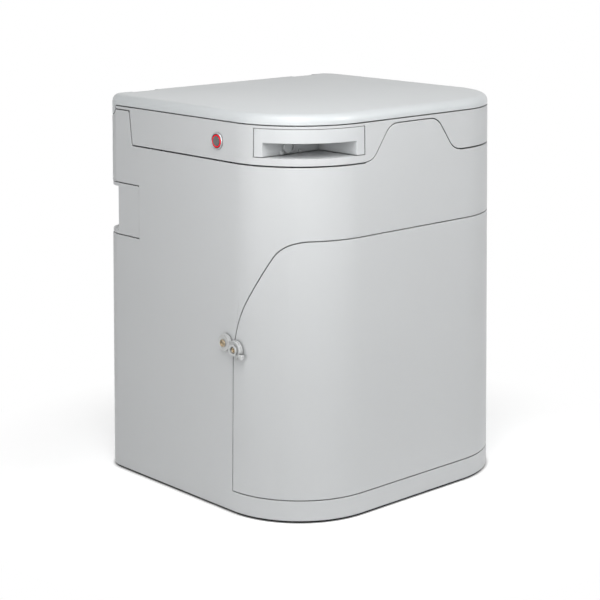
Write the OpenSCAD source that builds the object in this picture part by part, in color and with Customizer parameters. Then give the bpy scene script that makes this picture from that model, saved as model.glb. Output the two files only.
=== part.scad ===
// Self-contained composting toilet: a drafted body with a wrap-round front door, a tilting upper
// housing with a urine-diverting bowl and sliding trap door, a lid on the same rear hinge rod,
// a stirred solids bin, a urine bottle and a fan-assisted vent.
// Millimetres. Z is up, the front faces -Y, the floor is Z = 0.

/* [Body] */
// Width of the body at the floor
body_w = 402; // [390:1:430]
// Depth of the body at the floor
body_d = 374; // [366:1:400]
// Inward lean of every wall, in mm for each mm of height
draft = 0.0204; // [0.01:0.001:0.025]
// Plan radius of the front corners at the floor
front_corner_r = 110; // [106:1:114]
// Plan radius of the rear corners at the floor
rear_corner_r = 39; // [37:1:42]
// Wall of the outer shells
wall = 4; // [3.5:0.1:5]
// Wall of the door
door_wall = 3.5; // [3:0.1:4]
// Visible seam between neighbouring shells
seam = 1.2; // [0.8:0.1:1.6]

/* [Heights] */
// Height of the foot ring
foot_h = 3; // [2:0.5:5]
// Bottom edge of the door
door_bottom = 28; // [24:1:32]
// Top edge of the door
door_top = 338; // [330:1:346]
// Seam between the base and the upper housing
band_z = 423.6; // [420:0.2:426]
// Height of the upper housing, from its seam to the lid's
band_h = 46.4; // [44.4:0.1:52.4]
// Thickness of the lid
lid_t = 13; // [12:0.5:15]

/* [Rear hinge] */
// Radius of the rolled rear edge of the lid
hinge_r = 13; // [12.5:0.1:14]
// Radius of the hinge rod
rod_r = 4; // [3.5:0.1:4.5]
// Radius of the hinge ears
ear_r = 12; // [11:0.1:12.2]
// Width of one hinge ear
ear_w = 16; // [12:1:18]
// Distance of the base ears' middles inside the body's side at the floor
base_ear_in = 55; // [53:1:61]
// Distance between the middles of a base ear and the housing ear beside it
ear_pitch = 20; // [19:1:24]
// Radial running clearance in hinge and shaft bores
running = 0.06; // [0.04:0.01:0.09]

/* [Rear block] */
// Depth of the rear block at the long seam, from the body's back at the floor
block_d = 68.5; // [67:0.5:70]
// Backward lean of the block's front face over its height
block_lean = 6; // [4.5:0.5:7.5]
// Drop of the block's top below the lid seam
block_drop = 5; // [4.4:0.1:8]

/* [Front tongue] */
// Half width of the flat top of the tongue
tongue_half = 28; // [24:1:32]
// Drop of the tongue's top below the lid seam
tongue_drop = 5.5; // [5:0.5:10]
// Radius of the tongue's curves
tongue_r = 22; // [18:1:22]
// Distance of the foot of the tongue's curve from the middle
tongue_foot = 80; // [78:1:84]

/* [Door outline] */
// Distance of the door's vertical edges behind the tangent of the front corners
door_edge = 0.4; // [-3:0.2:3]
// Height at which the left edge starts to bend forwards
door_bend_z = 185; // [175:1:195]
// Radius of that bend
door_bend_r = 159; // [140:1:170]
// Forward lean of the left edge above the bend, in degrees
door_lean = 30; // [26:1:34]
// Radius of the door's rounded top corner
door_corner_r = 38; // [34:1:42]
// Width of the jamb that the door closes on
jamb = 9; // [8:1:12]

/* [Door hinge] */
// Radius of the door hinge barrels
knuckle_r = 3.5; // [3.2:0.1:3.8]
// Radius of the door hinge pins
door_pin_r = 1.5; // [1.2:0.1:1.8]
// Length of one knuckle
knuckle_l = 14; // [10:1:18]
// Heights of the middles of the two hinges
knuckle_z = [80, 290];

/* [Latch] */
// Distance of the latch pivot behind the door's edge
latch_set = 11.7; // [10.6:0.1:14.6]
// Height of the latch pivot
latch_z = 209.5; // [207:0.1:212]
// Position of the stud ahead of the pivot
stud_dy = -18.5; // [-20:0.1:-17.5]
// Height of the stud against the pivot
stud_dz = -5.3; // [-7:0.1:-4]
// Radius of the latch's pivot lobe
latch_lobe_r = 11; // [10:0.1:12]
// Radius of the latch's hook lobe
latch_hook_r = 11.5; // [10.5:0.1:12]
// Thickness of the latch
latch_t = 4.5; // [3.5:0.1:5.5]
// Radius of the stud's neck
stud_r = 4.2; // [3.5:0.1:4.5]
// Radius of the stud's head
stud_head_r = 7.1; // [6.5:0.1:7.4]

/* [Push button] */
// Distance of the button behind the tangent of the front corner
button_set = 30.3; // [27:0.1:35]
// Drop of the button's middle below the lid seam
button_drop = 24; // [22:0.1:26]
// Radius of the button's outer rim
button_rim_r = 10.2; // [9.5:0.1:10.8]
// Outer radius of the red ring
button_ring_r = 8.7; // [8:0.1:9]
// Radius of the cap
button_cap_r = 6.4; // [5.5:0.1:7]
// Radius of the button's barrel
button_barrel_r = 8; // [7.8:0.1:8.2]
// Travel of the cap
button_travel = 2; // [1:0.1:2.2]

/* [Pull handle] */
// Distance of the handle's rear end ahead of the tangent of the front corner
handle_set_y = 28.4; // [26:0.1:31]
// Distance of the handle's right end inside the tangent of the front corner
handle_set_x = 9.5; // [7:0.1:12]
// Drop of the handle's upper edge below the lid seam
handle_drop = 4; // [4:0.1:6]
// Height of the handle
handle_h = 32.5; // [31:0.1:34]
// Height of the finger slot
slot_h = 16.5; // [14.5:0.1:18.5]
// Width of the handle's rear leg
leg_rear = 10.6; // [9:0.1:12]
// Width of the handle's front leg
leg_front = 13; // [11:0.1:15]
// Wall of the handle and its finger pocket
handle_wall = 3; // [2.4:0.1:3.2]
// Distance of the pull rod inside the body's side at the floor
pull_rod_in = 60; // [57:0.5:63]
// Height of the pull rod above the handle's lower edge
pull_rod_up = 7.8; // [7.2:0.1:9]
// Radius of the pull rod
pull_rod_r = 4; // [3:0.1:4.5]
// Radius of the boss in the pocket
boss_r = 6; // [5:0.1:7]

/* [Bowl and trap door] */
// Width of the seat ahead of its opening
seat_front = 55; // [54:0.5:60]
// Width of the seat behind its opening
seat_rear = 18.5; // [17.5:0.5:24]
// Length of the opening's straight sides
opening_straight = 32; // [20:1:40]
// Thickness of the seat ring
seat_t = 8.6; // [7:0.1:8.8]
// Thickness of the upper housing's top plate
deck_t = 3.2; // [2.6:0.1:3.2]
// Wall of the bowl
bowl_wall = 3; // [2.5:0.1:3.2]
// Height of the gate plate's underside
gate_z = 372; // [368:0.5:376]
// Thickness of the gate plate
gate_t = 3; // [2.5:0.1:3.5]
// Half width of the gate plate
gate_half = 66; // [62:1:68]
// Gap between the bin or the gate and the rear block's front plane
rear_gap = 6.5; // [5.5:0.5:8.5]
// Length of the gate plate
gate_len = 112; // [106:1:114]
// Gap between the drain and the gate when it is pulled out
gate_stop_gap = 15; // [13:1:27]
// Distance of the urine drain behind the front end of the seat opening
drain_set = 13; // [11:0.5:13.5]
// Radius of the drain spout
drain_r = 12; // [10:0.5:12.5]

/* [Solids bin] */
// Room between the bin and the body's left side at the floor
bin_gap = 36; // [33:1:41]
// Room for the drive between the bin and the body's right side at the floor
drive_room = 61; // [59:1:65]
// Room for the bottle, from the body's front at the floor to the bin
bay_depth = 145; // [144:0.5:146]
// Gap between the bin's rim and the gate
bin_drop = 27; // [25:1:37]
// Wall of the bin
bin_wall = 3; // [2.5:0.1:3.5]
// Height of the agitator shaft
shaft_z = 92; // [90:1:100]
// Radius of the agitator shaft
shaft_r = 6; // [5:0.1:7]
// Reach of the paddles from the shaft
paddle_r = 66; // [56:1:68]
// Number of paddles
paddle_count = 5; // [4:1:6]

/* [Urine bottle] */
// Room between the bottle and each side of the body at the floor
bottle_gap_x = 66; // [61:1:76]
// Room between the bottle and the body's front at the floor
bottle_gap_y = 23; // [21:1:25]
// Room between the bottle and the bin
bay_gap = 12; // [10:1:14]
// Height of the bottle's shoulder
bottle_top = 290; // [280:1:296]
// Height of the neck's rim
neck_top = 320; // [314:1:322]
// Radius of the neck
neck_r = 25; // [22:0.5:27]
// Wall of the bottle
bottle_wall = 2.5; // [2:0.1:3]

/* [Vent and fan] */
// Width of the vent plates
vent_w = 43; // [41:0.5:46]
// Distance of the vent plates' rear edge from the body's back at the floor
vent_set = 39.5; // [38:0.5:41]
// Lower edge of the vent plates
vent_low = 308; // [306:1:314]
// Upper edge of the vent plates
vent_high = 375; // [370:1:378]
// Dark gap over and under the vent plates
vent_gap = 1.2; // [0.8:0.1:1.6]
// Height of the lips that the vent plates carry round the rear corners
vent_lip = 4.4; // [3:0.2:6]
// Radius of the hose socket
vent_r = 17.5; // [15:0.1:17.8]
// Side of the fan's square frame
fan_size = 40; // [36:1:42]
// Thickness of the fan's frame
fan_t = 15; // [12:0.5:16]

/* [Fixings] */
// Radius of the floor fixing holes
fix_r = 3.3; // [2.8:0.1:3.6]
// Distance of the floor fixing holes inside the body's sides at the floor
fix_in = 23; // [21:1:25]
// Distance between the floor fixing holes along Y
fix_span_y = 150; // [140:1:156]
// Distance of the fixing holes' middle behind the body's middle
fix_y = 15; // [10:1:20]

/* [Drive and controls] */
// Size of the gearbox along X
gearbox_l = 25.8; // [24:0.1:27]
// Radius of the coupling between the gearbox and the agitator
coupling_r = 13; // [11:0.5:15]
// Thickness of the tang in the coupling's slot
tang_t = 5; // [4:0.5:6]
// Radius of the leads
lead_r = 2; // [1.5:0.5:2.5]
// Half width of the control box
control_half = 62; // [50:1:70]
// Underside of the control box
control_z = 200; // [180:1:220]
// Height of the control box
control_h = 64; // [56:1:72]
// Depth of the control box
control_d = 30.4; // [28:0.2:32]
// Thickness of the circuit board
board_t = 1.6; // [1.2:0.1:2]
// Distance of the power inlet inside the body's side at the floor
inlet_in = 81; // [75:1:91]
// Length of the power inlet
inlet_l = 15.6; // [14:0.2:18]
// Height of the power inlet
inlet_z = 60; // [50:1:70]

/* [Inner panels] */
// Height of the divider's top between the two bays
divider_top = 290; // [280:1:300]
// Thickness of the divider and the service panel
panel_t = 2.5; // [2:0.1:3]
// Drop of the service panel's top below the base's top edge
panel_drop = 10.7; // [6:0.1:18]
// Thickness of the ribs on the inner panels
rib_t = 3; // [2:0.5:4]

/* [Hidden] */
$fn = 64;

shell_colour = [0.80, 0.815, 0.82];
lid_colour = [0.83, 0.85, 0.855];
dark = [0.12, 0.12, 0.13];
steel = [0.66, 0.67, 0.68];
brass = [0.72, 0.60, 0.38];
bin_colour = [0.35, 0.36, 0.37];
far = 260;                       // reaches past every side of the body
eps = 0.2;                       // overlap between joined solids of one piece
fit = 0.3;                       // gap between pieces that lie against each other
half_gap = seam / 2;
pocket_reach = 34; // how far the rear-corner openings reach round the back
cup_set = 2; // the cups stand this much inside the openings' height

rim_z = band_z + band_h;         // seam between the upper housing and the lid
base_ear_x = body_w / 2 - base_ear_in;
housing_ear_x = base_ear_x - ear_pitch;
block_front_low = body_d / 2 - block_d;
block_front_high = block_front_low + block_lean;
block_top = rim_z - block_drop;
tongue_top = rim_z - tongue_drop;
lid_top = rim_z + lid_t;
hinge_z = lid_top - hinge_r;
hinge_y = body_d / 2 - draft * rim_z - hinge_r;
swing_r = hinge_r + 1.2;         // clearance radius round the rolled edge
housing_low = band_z + 0.9;
base_top = band_z - 0.9;
panel_top = base_top - panel_drop;
housing_top = rim_z - half_gap;
lid_low = rim_z + half_gap;
floor_top = foot_h + wall;
front_cx = body_w / 2 - front_corner_r;
front_cy = -body_d / 2 + front_corner_r;
rear_cx = body_w / 2 - rear_corner_r;
rear_cy = body_d / 2 - rear_corner_r;
door_y = front_cy + door_edge;
latch_y = door_y + latch_set;
button_y = front_cy + button_set;
button_z = rim_z - button_drop;
handle_y = front_cy - handle_set_y;
handle_x = -front_cx + handle_set_x;
handle_high = rim_z - handle_drop;
handle_low = handle_high - handle_h;
slot_high = handle_low + slot_h;
pull_rod_x = body_w / 2 - pull_rod_in;
pull_rod_z = handle_low + pull_rod_up;
opening_r = (block_front_low + body_d / 2 - seat_front - seat_rear - opening_straight) / 2;
opening_front = -body_d / 2 + seat_front + opening_r;
opening_rear = opening_front + opening_straight;
drain_y = opening_front - opening_r + drain_set;
gate_rear = block_front_low - rear_gap;
bin_front = -body_d / 2 + bay_depth;
bin_rear = gate_rear;
bin_top = gate_z - bin_drop;
bin_left = -body_w / 2 + bin_gap;
bin_right = body_w / 2 - drive_room;
bottle_w = body_w - 2 * bottle_gap_x;
bottle_front = -body_d / 2 + bottle_gap_y;
bottle_rear = bin_front - bay_gap;
vent_rear = body_d / 2 - vent_set;
vent_front = vent_rear - vent_w;
fix_span_x = body_w - 2 * fix_in;
latch_back = half_w(latch_z - 20) + 0.5;
latch_front = latch_back + latch_t;
outer_x = latch_front + fit + 2; // outermost face of latch stud and door hinge
axis_x = outer_x - knuckle_r;
jamb_inset = door_wall + fit;
bin_y = (bin_front + bin_rear) / 2;
bin_floor = floor_top + 5;
bottle_floor = door_bottom + 2.3;
gate_front = gate_rear - gate_len;
gate_travel = gate_front - drain_y - drain_r - gate_stop_gap;
divider_y = bin_front - rear_gap - 0.5;
liner_t = 2.4;                   // wall of the niche behind the handle
guide_y = handle_y + half_gap + liner_t + fit;
ledge_z = handle_low - half_gap; // top of the ledge under the handle
panel_y = block_front_low + wall + fit;
control_y = panel_y + panel_t + fit;
board_y = control_y + control_d / 2 - 2.8;
lead_y = control_y + 14.4;
inlet_x = body_w / 2 - inlet_in;
inlet_y = half_d(inlet_z) - 0.2 - inlet_l;
lead_x = inlet_x + 4;
rail_low = gate_z - 4;
rib_x = body_w / 2 - 33;
bowl_bottom = gate_z + gate_t + 3;
pocket_x = handle_x - leg_front;
pocket_y = handle_y - leg_rear;
vent_y = (vent_front + vent_rear) / 2 - 2;
vent_z = (vent_low + vent_high) / 2;
port_in = half_w(vent_z) - 12;
coupling_x = bin_right + 3;
motor_x = coupling_x + 11;
motor_r = 12;
handle_bar_z = bottle_top + 23;  // middle of the bottle's carry handle

function half_w(z) = body_w / 2 - draft * z;
function half_d(z) = body_d / 2 - draft * z;
function arc(cx, cy, r, a0, a1, n = 8) =
  [for (i = [0:n]) [cx + r * cos(a0 + (a1 - a0) * i / n), cy + r * sin(a0 + (a1 - a0) * i / n)]];

// ---------------------------------------------------------------- shared shapes

// Extrudes a profile of (y, z) points along X from x0 to x1
module along_x(x0, x1) {
  translate([x0, 0, 0])
    rotate([90, 0, 90])
      linear_extrude(x1 - x0) children();
}

// Extrudes a profile of (x, z) points along Y from y0 to y1
module along_y(y0, y1) {
  translate([0, y1, 0])
    rotate([90, 0, 0])
      linear_extrude(y1 - y0) children();
}

// Box from its lowest to its highest corner
module span(low, high) {
  translate(low) cube(high - low);
}

// Cylinder along X between two planes
module rod_x(x0, x1, y, z, r) {
  translate([x0, y, z]) rotate([0, 90, 0]) cylinder(r = r, h = x1 - x0);
}

// Cylinder along Y between two planes
module rod_y(y0, y1, x, z, r) {
  translate([x, y1, z]) rotate([90, 0, 0]) cylinder(r = r, h = y1 - y0);
}

// The drafted form of the body, taller than the body at both ends, moved inwards by inset
module body_form(inset = 0) {
  low = -50;
  high = 550;
  w0 = half_w(low) - inset;
  w1 = half_w(high) - inset;
  d0 = half_d(low) - inset;
  d1 = half_d(high) - inset;
  for (side = [-1, 1]) {
    translate([side * front_cx, front_cy, low])
      cylinder(r1 = front_corner_r - draft * low - inset, r2 = front_corner_r - draft * high - inset,
        h = high - low);
    translate([side * rear_cx, rear_cy, low])
      cylinder(r1 = rear_corner_r - draft * low - inset, r2 = rear_corner_r - draft * high - inset,
        h = high - low);
  }
  along_x(-front_cx, front_cx) polygon([[-d0, low], [0, low], [0, high], [-d1, high]]);
  along_x(-rear_cx, rear_cx) polygon([[-1, low], [d0, low], [d1, high], [-1, high]]);
  along_y(front_cy, rear_cy) polygon([[-w0, low], [w0, low], [w1, high], [-w1, high]]);
}

// Slice of the body's form between two heights
module body_block(z0, z1, inset = 0) {
  intersection() {
    body_form(inset);
    span([-far, -far, z0], [far, far, z1]);
  }
}

// Wall of the body between two insets
module body_skin(z0, z1, outer, inner) {
  difference() {
    body_block(z0, z1, outer);
    body_form(inner);
  }
}

// Rounded rectangle in plan
module rounded(x0, y0, x1, y1, r) {
  for (x = [x0 + r, x1 - r], y = [y0 + r, y1 - r]) translate([x, y]) circle(r = r);
  translate([x0 + r, y0]) square([x1 - x0 - 2 * r, y1 - y0]);
  translate([x0, y0 + r]) square([x1 - x0, y1 - y0 - 2 * r]);
}

// Outline of the seat opening, grown outwards
module opening_outline(grow = 0) {
  r = opening_r + grow;
  translate([0, opening_front]) circle(r = r);
  translate([0, opening_rear]) circle(r = r);
  translate([-r, opening_front]) square([2 * r, opening_rear - opening_front]);
}

// Profile of the raised centre tongue, grown outwards
module tongue_profile(grow = 0) {
  low = band_z - 3;
  rc = tongue_r + grow;
  rf = tongue_r - grow;
  crown_z = tongue_top - tongue_r;
  foot_z = band_z + tongue_r;
  lean = asin(2 * tongue_r / norm([tongue_foot - tongue_half, foot_z - crown_z]))
    - atan2(foot_z - crown_z, tongue_foot - tongue_half);
  right = concat(
    [[tongue_foot, low]],
    arc(tongue_foot, foot_z, rf, -90, -90 - lean, 6),
    arc(tongue_half, crown_z, rc, 90 - lean, 90, 6)
  );
  polygon(concat(right, [for (i = [len(right) - 1:-1:0]) [-right[i][0], right[i][1]]]));
}

// Side profile of the rear block, moved inwards by inset
module block_profile(inset = 0) {
  clear = swing_r + inset;
  low_z = hinge_z - clear;
  dip = hinge_z - block_top + inset;
  polygon(concat(
    [
      [far, 300], [block_front_low + inset, 300], [block_front_low + inset, band_z],
      [block_front_high + inset, block_top - 2 - inset], [block_front_high + inset + 2, block_top - inset]
    ],
    arc(hinge_y, hinge_z, clear, 180 + asin(dip / clear), 270, 8),
    [[far, low_z - 2]]
  ));
}

// Space above and behind the door's left outline as a (y, z) profile, grown outwards
module door_corner_cut(grow = 0) {
  bend_cy = door_y - door_bend_r;
  lean_y = bend_cy + door_bend_r * cos(door_lean);
  lean_z = door_bend_z + door_bend_r * sin(door_lean);
  run = (door_top - door_corner_r * (1 - sin(door_lean)) - lean_z) / cos(door_lean);
  corner_y = lean_y - run * sin(door_lean) - door_corner_r * cos(door_lean);
  polygon(concat(
    arc(bend_cy, door_bend_z, door_bend_r + grow, 0, door_lean, 8),
    arc(corner_y, door_top - door_corner_r, door_corner_r + grow, door_lean, 90, 8),
    [[corner_y, far * 2], [far, far * 2], [far, door_bend_z]]
  ));
}

// Space that the door fills, grown outwards
module door_region(grow = 0) {
  difference() {
    span([-far, -far, door_bottom - grow], [far, door_y + grow, door_top + grow]);
    along_x(-far - 1, -20) door_corner_cut(grow);
  }
}

// Pockets at the rear corners beside the vent plates
module vent_pocket(side, grow = 0, lip = 0) {
  x0 = half_w(vent_z) - pocket_reach - grow;
  x1 = far;
  translate([side > 0 ? x0 : -x1, vent_rear - grow, vent_low - grow + lip])
    cube([x1 - x0, far, vent_high - vent_low + 2 * (grow - lip)]);
}

// ---------------------------------------------------------------- base

// Knuckles of one door hinge with their webs: index 1 is the door's, 0 and 2 are the base's
module knuckle(zc, index, dir) {
  z0 = zc + (index - 1.5) * knuckle_l + fit;
  root = half_w(zc) - 2.5;
  difference() {
    union() {
      translate([axis_x, door_y, z0]) cylinder(r = knuckle_r, h = knuckle_l - 2 * fit);
      translate([0, 0, z0])
        linear_extrude(knuckle_l - 2 * fit)
          polygon([[root, door_y + dir * 0.8], [axis_x + knuckle_r * 0.8, door_y + dir * 1.2],
            [root + 2.5, door_y + dir * 20], [root, door_y + dir * 20]]);
    }
    translate([axis_x, door_y, z0 - 1])
      cylinder(r = door_pin_r + (index == 1 ? running : 0), h = knuckle_l + 2);
  }
}

// Clearance round the other side's barrels
module knuckle_relief(zc, index) {
  translate([axis_x, door_y, zc + (index - 1.5) * knuckle_l - fit])
    cylinder(r = knuckle_r + 0.6, h = knuckle_l + 2 * fit);
}

// Walls, tongue, rear block and hinge ears of the base before the door is cut out
module base_walls() {
  body_skin(foot_h, base_top, 0, wall);
  // raised tongue at the front
  intersection() {
    body_skin(base_top - 1, tongue_top + 1, 0, wall);
    along_y(-far, -130) tongue_profile();
  }
  // rear block that carries the hinge ears
  intersection() {
    body_block(base_top - 60, block_top + 4, 0);
    difference() {
      along_x(-far, far) block_profile();
      intersection() {
        body_block(0, block_top + 10, wall);
        along_x(-far, far) block_profile(wall);
      }
      span([-far, block_front_low - 1, 0], [far, block_front_low + wall + 1, 400]);
    }
  }
  // hinge ears
  for (side = [-1, 1]) {
    x0 = side * base_ear_x - ear_w / 2;
    rod_x(x0, x0 + ear_w, hinge_y, hinge_z, ear_r);
    span([x0, hinge_y - ear_r, hinge_z - 32], [x0 + ear_w, hinge_y + 3.5, hinge_z - 8]);
  }
}

// Cut for a flush vent plate
module vent_plate_cut(side) {
  span([side > 0 ? half_w(vent_z) - 8 : -far, vent_front, vent_low],
    [side > 0 ? far : -half_w(vent_z) + 8, vent_rear + 1, vent_high]);
}

module base_shell() {
  color(shell_colour) {
    difference() {
      union() {
        difference() {
          base_walls();
          door_region(half_gap);
        }
        for (zc = knuckle_z, index = [0, 2]) knuckle(zc, index, 1);
      }
      for (side = [-1, 1]) {
        vent_pocket(side);
        vent_plate_cut(side);
      }
      for (zc = knuckle_z) knuckle_relief(zc, 1);
      rod_x(-far, far, hinge_y, hinge_z, rod_r);
      rod_x(-latch_back - 1, -half_w(latch_z) + 20, latch_y, latch_z, 2.5);
      rod_y(inlet_y - 20, far, inlet_x, inlet_z, 8);
    }
  }
}

// Floor of the base with a boss round each fixing hole
module floor_pan() {
  color(shell_colour) difference() {
    union() {
      body_block(foot_h, floor_top, wall + fit);
      floor_fixings(fix_r + 3.5, foot_h + wall + 4);
    }
    floor_fixings(fix_r, far);
  }
}

// Cylinders at the floor fixing holes
module floor_fixings(r, top) {
  for (x = [-0.5, 0.5], y = [-0.5, 0.5])
    translate([x * fix_span_x, fix_y + y * fix_span_y, foot_h]) cylinder(r = r, h = top - foot_h);
}

// Jamb that the door closes on
module door_frame() {
  color(shell_colour) intersection() {
    body_skin(door_bottom - 12, door_top + 12, wall + fit, wall + fit + 3);
    difference() {
      door_region(8);
      door_region(-jamb);
    }
  }
}

// Cups behind the openings at the rear corners, beside the vent plates
module corner_cups() {
  color(shell_colour) for (side = [-1, 1]) difference() {
    intersection() {
      body_block(vent_low + cup_set, vent_high - cup_set, wall + fit);
      vent_pocket(side, 3);
    }
    vent_pocket(side, 0, vent_gap + vent_lip);
    vent_plate_cut(side);
  }
}

module foot_ring() {
  color(dark) body_skin(0, foot_h, 2.5, 14);
}

module bottle_tray() {
  color(shell_colour) difference() {
    translate([0, 0, floor_top])
      linear_extrude(bottle_floor - floor_top + 6)
        rounded(-bottle_w / 2 - 5, bottle_front - 5, bottle_w / 2 + 5, bottle_rear + 4, 44);
    translate([0, 0, bottle_floor - fit])
      linear_extrude(20)
        rounded(-bottle_w / 2 - 1, bottle_front - 1, bottle_w / 2 + 1, bottle_rear + 1, 41);
    translate([0, 0, floor_top - 1])
      linear_extrude(bottle_floor - floor_top - 3)
        rounded(-bottle_w / 2 - 2, bottle_front - 2, bottle_w / 2 + 2, bottle_rear + 1, 41);
  }
}

module bin_cradle() {
  color(shell_colour) difference() {
    translate([0, 0, floor_top])
      linear_extrude(16) rounded(bin_left - 5, bin_front - 3, bin_right + 5, bin_rear + 4, 24);
    translate([0, 0, bin_floor - fit])
      linear_extrude(20) rounded(bin_left - 1, bin_front - 1, bin_right + 1, bin_rear + 1, 21);
    translate([0, 0, floor_top - 1])
      linear_extrude(20) rounded(bin_left + 20, bin_front + 20, bin_right - 20, bin_rear - 20, 10);
  }
}

module bay_divider() {
  half = half_w(divider_top) - wall - fit;
  y1 = divider_y + panel_t;
  color(shell_colour) {
    span([-half, divider_y, floor_top], [half, y1, divider_top]);
    for (x = [bin_left - 7, bin_right + 18])
      span([x, y1 - eps, floor_top], [x + rib_t, y1 + 0.5, divider_top]);
  }
}

module service_partition() {
  half = half_w(panel_top - 12) - wall - fit;
  color(shell_colour) difference() {
    span([-half, panel_y, floor_top], [half, panel_y + panel_t, panel_top]);
    for (side = [-1, 1]) vent_duct_gap(side);
  }
}

// Room for the fan and duct in the service partition
module vent_duct_gap(side) {
  x0 = side > 0 ? half_w(vent_z) - 42 : -half_w(vent_z) - 10;
  span([x0, panel_y - 20, vent_low - 4], [x0 + 52, panel_y + 20, vent_high + 4]);
}

module hinge_rod() {
  color(steel) rod_x(-base_ear_x - ear_w / 2 - 22, base_ear_x + ear_w / 2 + 22, hinge_y, hinge_z, rod_r);
}

module rod_end_cap() {
  x0 = base_ear_x + ear_w / 2 + 22 + fit;
  color(dark) rod_x(x0, x0 + 3, hinge_y, hinge_z, rod_r + 1);
}

module door_hinge_pins() {
  color(steel) for (zc = knuckle_z)
    translate([axis_x, door_y, zc - 1.5 * knuckle_l + fit]) cylinder(r = door_pin_r, h = 3 * knuckle_l);
}

module latch_screw() {
  color(brass) {
    rod_x(-latch_front - 0.6, -half_w(latch_z) + 12, latch_y, latch_z, 2.5);
    difference() {
      rod_x(-latch_front - fit - 1.6, -latch_front - fit, latch_y, latch_z, 5);
      rod_x(-latch_front - 5, -latch_front - fit - 0.8, latch_y, latch_z, 2.4);
    }
  }
}

module rim_pads() {
  color(dark) for (side = [-1, 1], y = [front_cy + 17, front_cy + 147])
    translate([side * (half_w(base_top) - wall / 2 - 0.1), y, base_top])
      translate([-1.4, -9, 0]) cube([2.8, 18, housing_low - base_top - fit]);
}

// Flush plate over a vent port opening
// Plate in the side wall, with lips that run round the rear corner over and under its opening
module vent_plate(side) {
  edge_x = half_w(vent_z) - pocket_reach + half_gap;
  intersection() {
    body_skin(vent_low - 4, vent_high + 4, 0.6, wall);
    difference() {
      span([side > 0 ? edge_x : -far, vent_front + half_gap, vent_low + vent_gap],
        [side > 0 ? far : -edge_x, far, vent_high - vent_gap]);
      vent_pocket(side, 0, vent_gap + vent_lip);
    }
  }
}

module vent_blank_plate() {
  color(shell_colour) {
    vent_plate(-1);
    span([-half_w(vent_z) + wall - 1, vent_front + 4, vent_low + 8],
      [-half_w(vent_z) + wall + 6, vent_front + 6, vent_high - 8]);
  }
}

module vent_port() {
  color(shell_colour) difference() {
    union() {
      vent_plate(1);
      rod_x(port_in, half_w(vent_z) - 1, vent_y, vent_z, vent_r + 1.2);
    }
    rod_x(port_in - 1, far, vent_y, vent_z, vent_r);
  }
}

module insect_screen() {
  color(steel) difference() {
    rod_x(port_in - 1.2, port_in - fit, vent_y, vent_z, vent_r + 1.2);
    for (i = [-3:3], j = [-3:3])
      if (norm([i, j]) < 3.2)
        rod_x(port_in - 2, port_in, vent_y + i * 5, vent_z + j * 5, 2);
  }
}

module fan_frame() {
  x1 = port_in - 1.5;
  x0 = x1 - fan_t;
  half = fan_size / 2;
  color(dark) {
    difference() {
      span([x0, vent_y - half, vent_z - half], [x1, vent_y + half, vent_z + half]);
      rod_x(x0 - 1, x1 + 1, vent_y, vent_z, half - 1.2);
    }
    rod_x(x1 - 4, x1 - 0.2, vent_y, vent_z, 8);
    for (a = [45, 135, 225, 315])
      translate([x1 - 2.6, vent_y, vent_z]) rotate([a, 0, 0]) translate([0, -1.2, 6])
        cube([2, 2.4, half - 4]);
    // stub that the rotor turns on
    rod_x(x0 + 3, x1 - 3, vent_y, vent_z, 1.5);
  }
}

module fan_rotor() {
  x1 = port_in - 1.5 - 4.3;
  x0 = x1 - 9;
  color(dark) difference() {
    union() {
      rod_x(x0, x1, vent_y, vent_z, 8);
      for (i = [0:6])
        translate([x0 + 1, vent_y, vent_z]) rotate([i * 360 / 7, 0, 0])
          translate([0, 0, 7]) rotate([0, 0, 35]) translate([0, -0.6, 0])
            cube([7, 1.2, fan_size / 2 - 9.4]);
    }
    rod_x(x0 - 1, x1 + 1, vent_y, vent_z, 1.5 + running);
  }
}

// ---------------------------------------------------------------- drive and controls

module drive_bracket() {
  x1 = motor_x + gearbox_l + 0.2;
  color(steel) {
    span([x1, bin_y - 22, floor_top], [x1 + 2.5, bin_y + 22, shaft_z + 24]);
    span([motor_x + 4, bin_y - 22, floor_top], [x1, bin_y + 22, floor_top + 2.5]);
  }
}

module drive_gearbox() {
  color([0.30, 0.31, 0.33]) difference() {
    span([motor_x, bin_y - 16, shaft_z - 20], [motor_x + gearbox_l, bin_y + 22, shaft_z + 20]);
    rod_x(motor_x - 1, motor_x + 16, bin_y, shaft_z, 4 + running);
  }
}

module drive_motor() {
  x = motor_x + gearbox_l / 2;
  color(steel) {
    translate([x, bin_y + 6, shaft_z + 20 + fit]) cylinder(r = motor_r, h = 44);
    translate([x, bin_y + 6, shaft_z + 64]) cylinder(r = 4, h = 3);
  }
}

// Slotted disc on the gearbox's output shaft; the bin's tang drops into the slot from above
module motor_coupling() {
  half = tang_t / 2 + 0.4;
  color(dark) difference() {
    union() {
      rod_x(coupling_x + 1, motor_x - fit, bin_y, shaft_z, coupling_r);
      rod_x(motor_x - 1, motor_x + 15, bin_y, shaft_z, 4);
    }
    span([coupling_x, bin_y - half, shaft_z - 20], [coupling_x + 6.5, bin_y + half, shaft_z + 20]);
  }
}

module control_box() {
  t = panel_t;
  y1 = control_y + control_d;
  color(dark) difference() {
    span([-control_half, control_y, control_z], [control_half, y1, control_z + control_h]);
    span([-control_half + t, control_y + t, control_z + t],
      [control_half - t, y1 - t, control_z + control_h - t]);
    for (x = [-control_half, control_half])
      rod_x(x - 12, x + 12, lead_y, control_z + control_h / 2 - 2, lead_r + 1);
  }
}

module circuit_board() {
  z = control_z + 6;
  half = control_half - 6;
  back = board_y + board_t;
  post = control_y + control_d - panel_t - fit;
  color([0.05, 0.30, 0.14]) {
    span([-half, board_y, z], [half, back, control_z + control_h - 6]);
    for (x = [6 - half, half - 6]) span([x - 2, back - eps, z + 22], [x + 2, post, z + 26]);
    for (x = [-34, -6, 22]) span([x, board_y - 9, z + 10], [x + 14, board_y + eps, z + 34]);
  }
}

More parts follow.
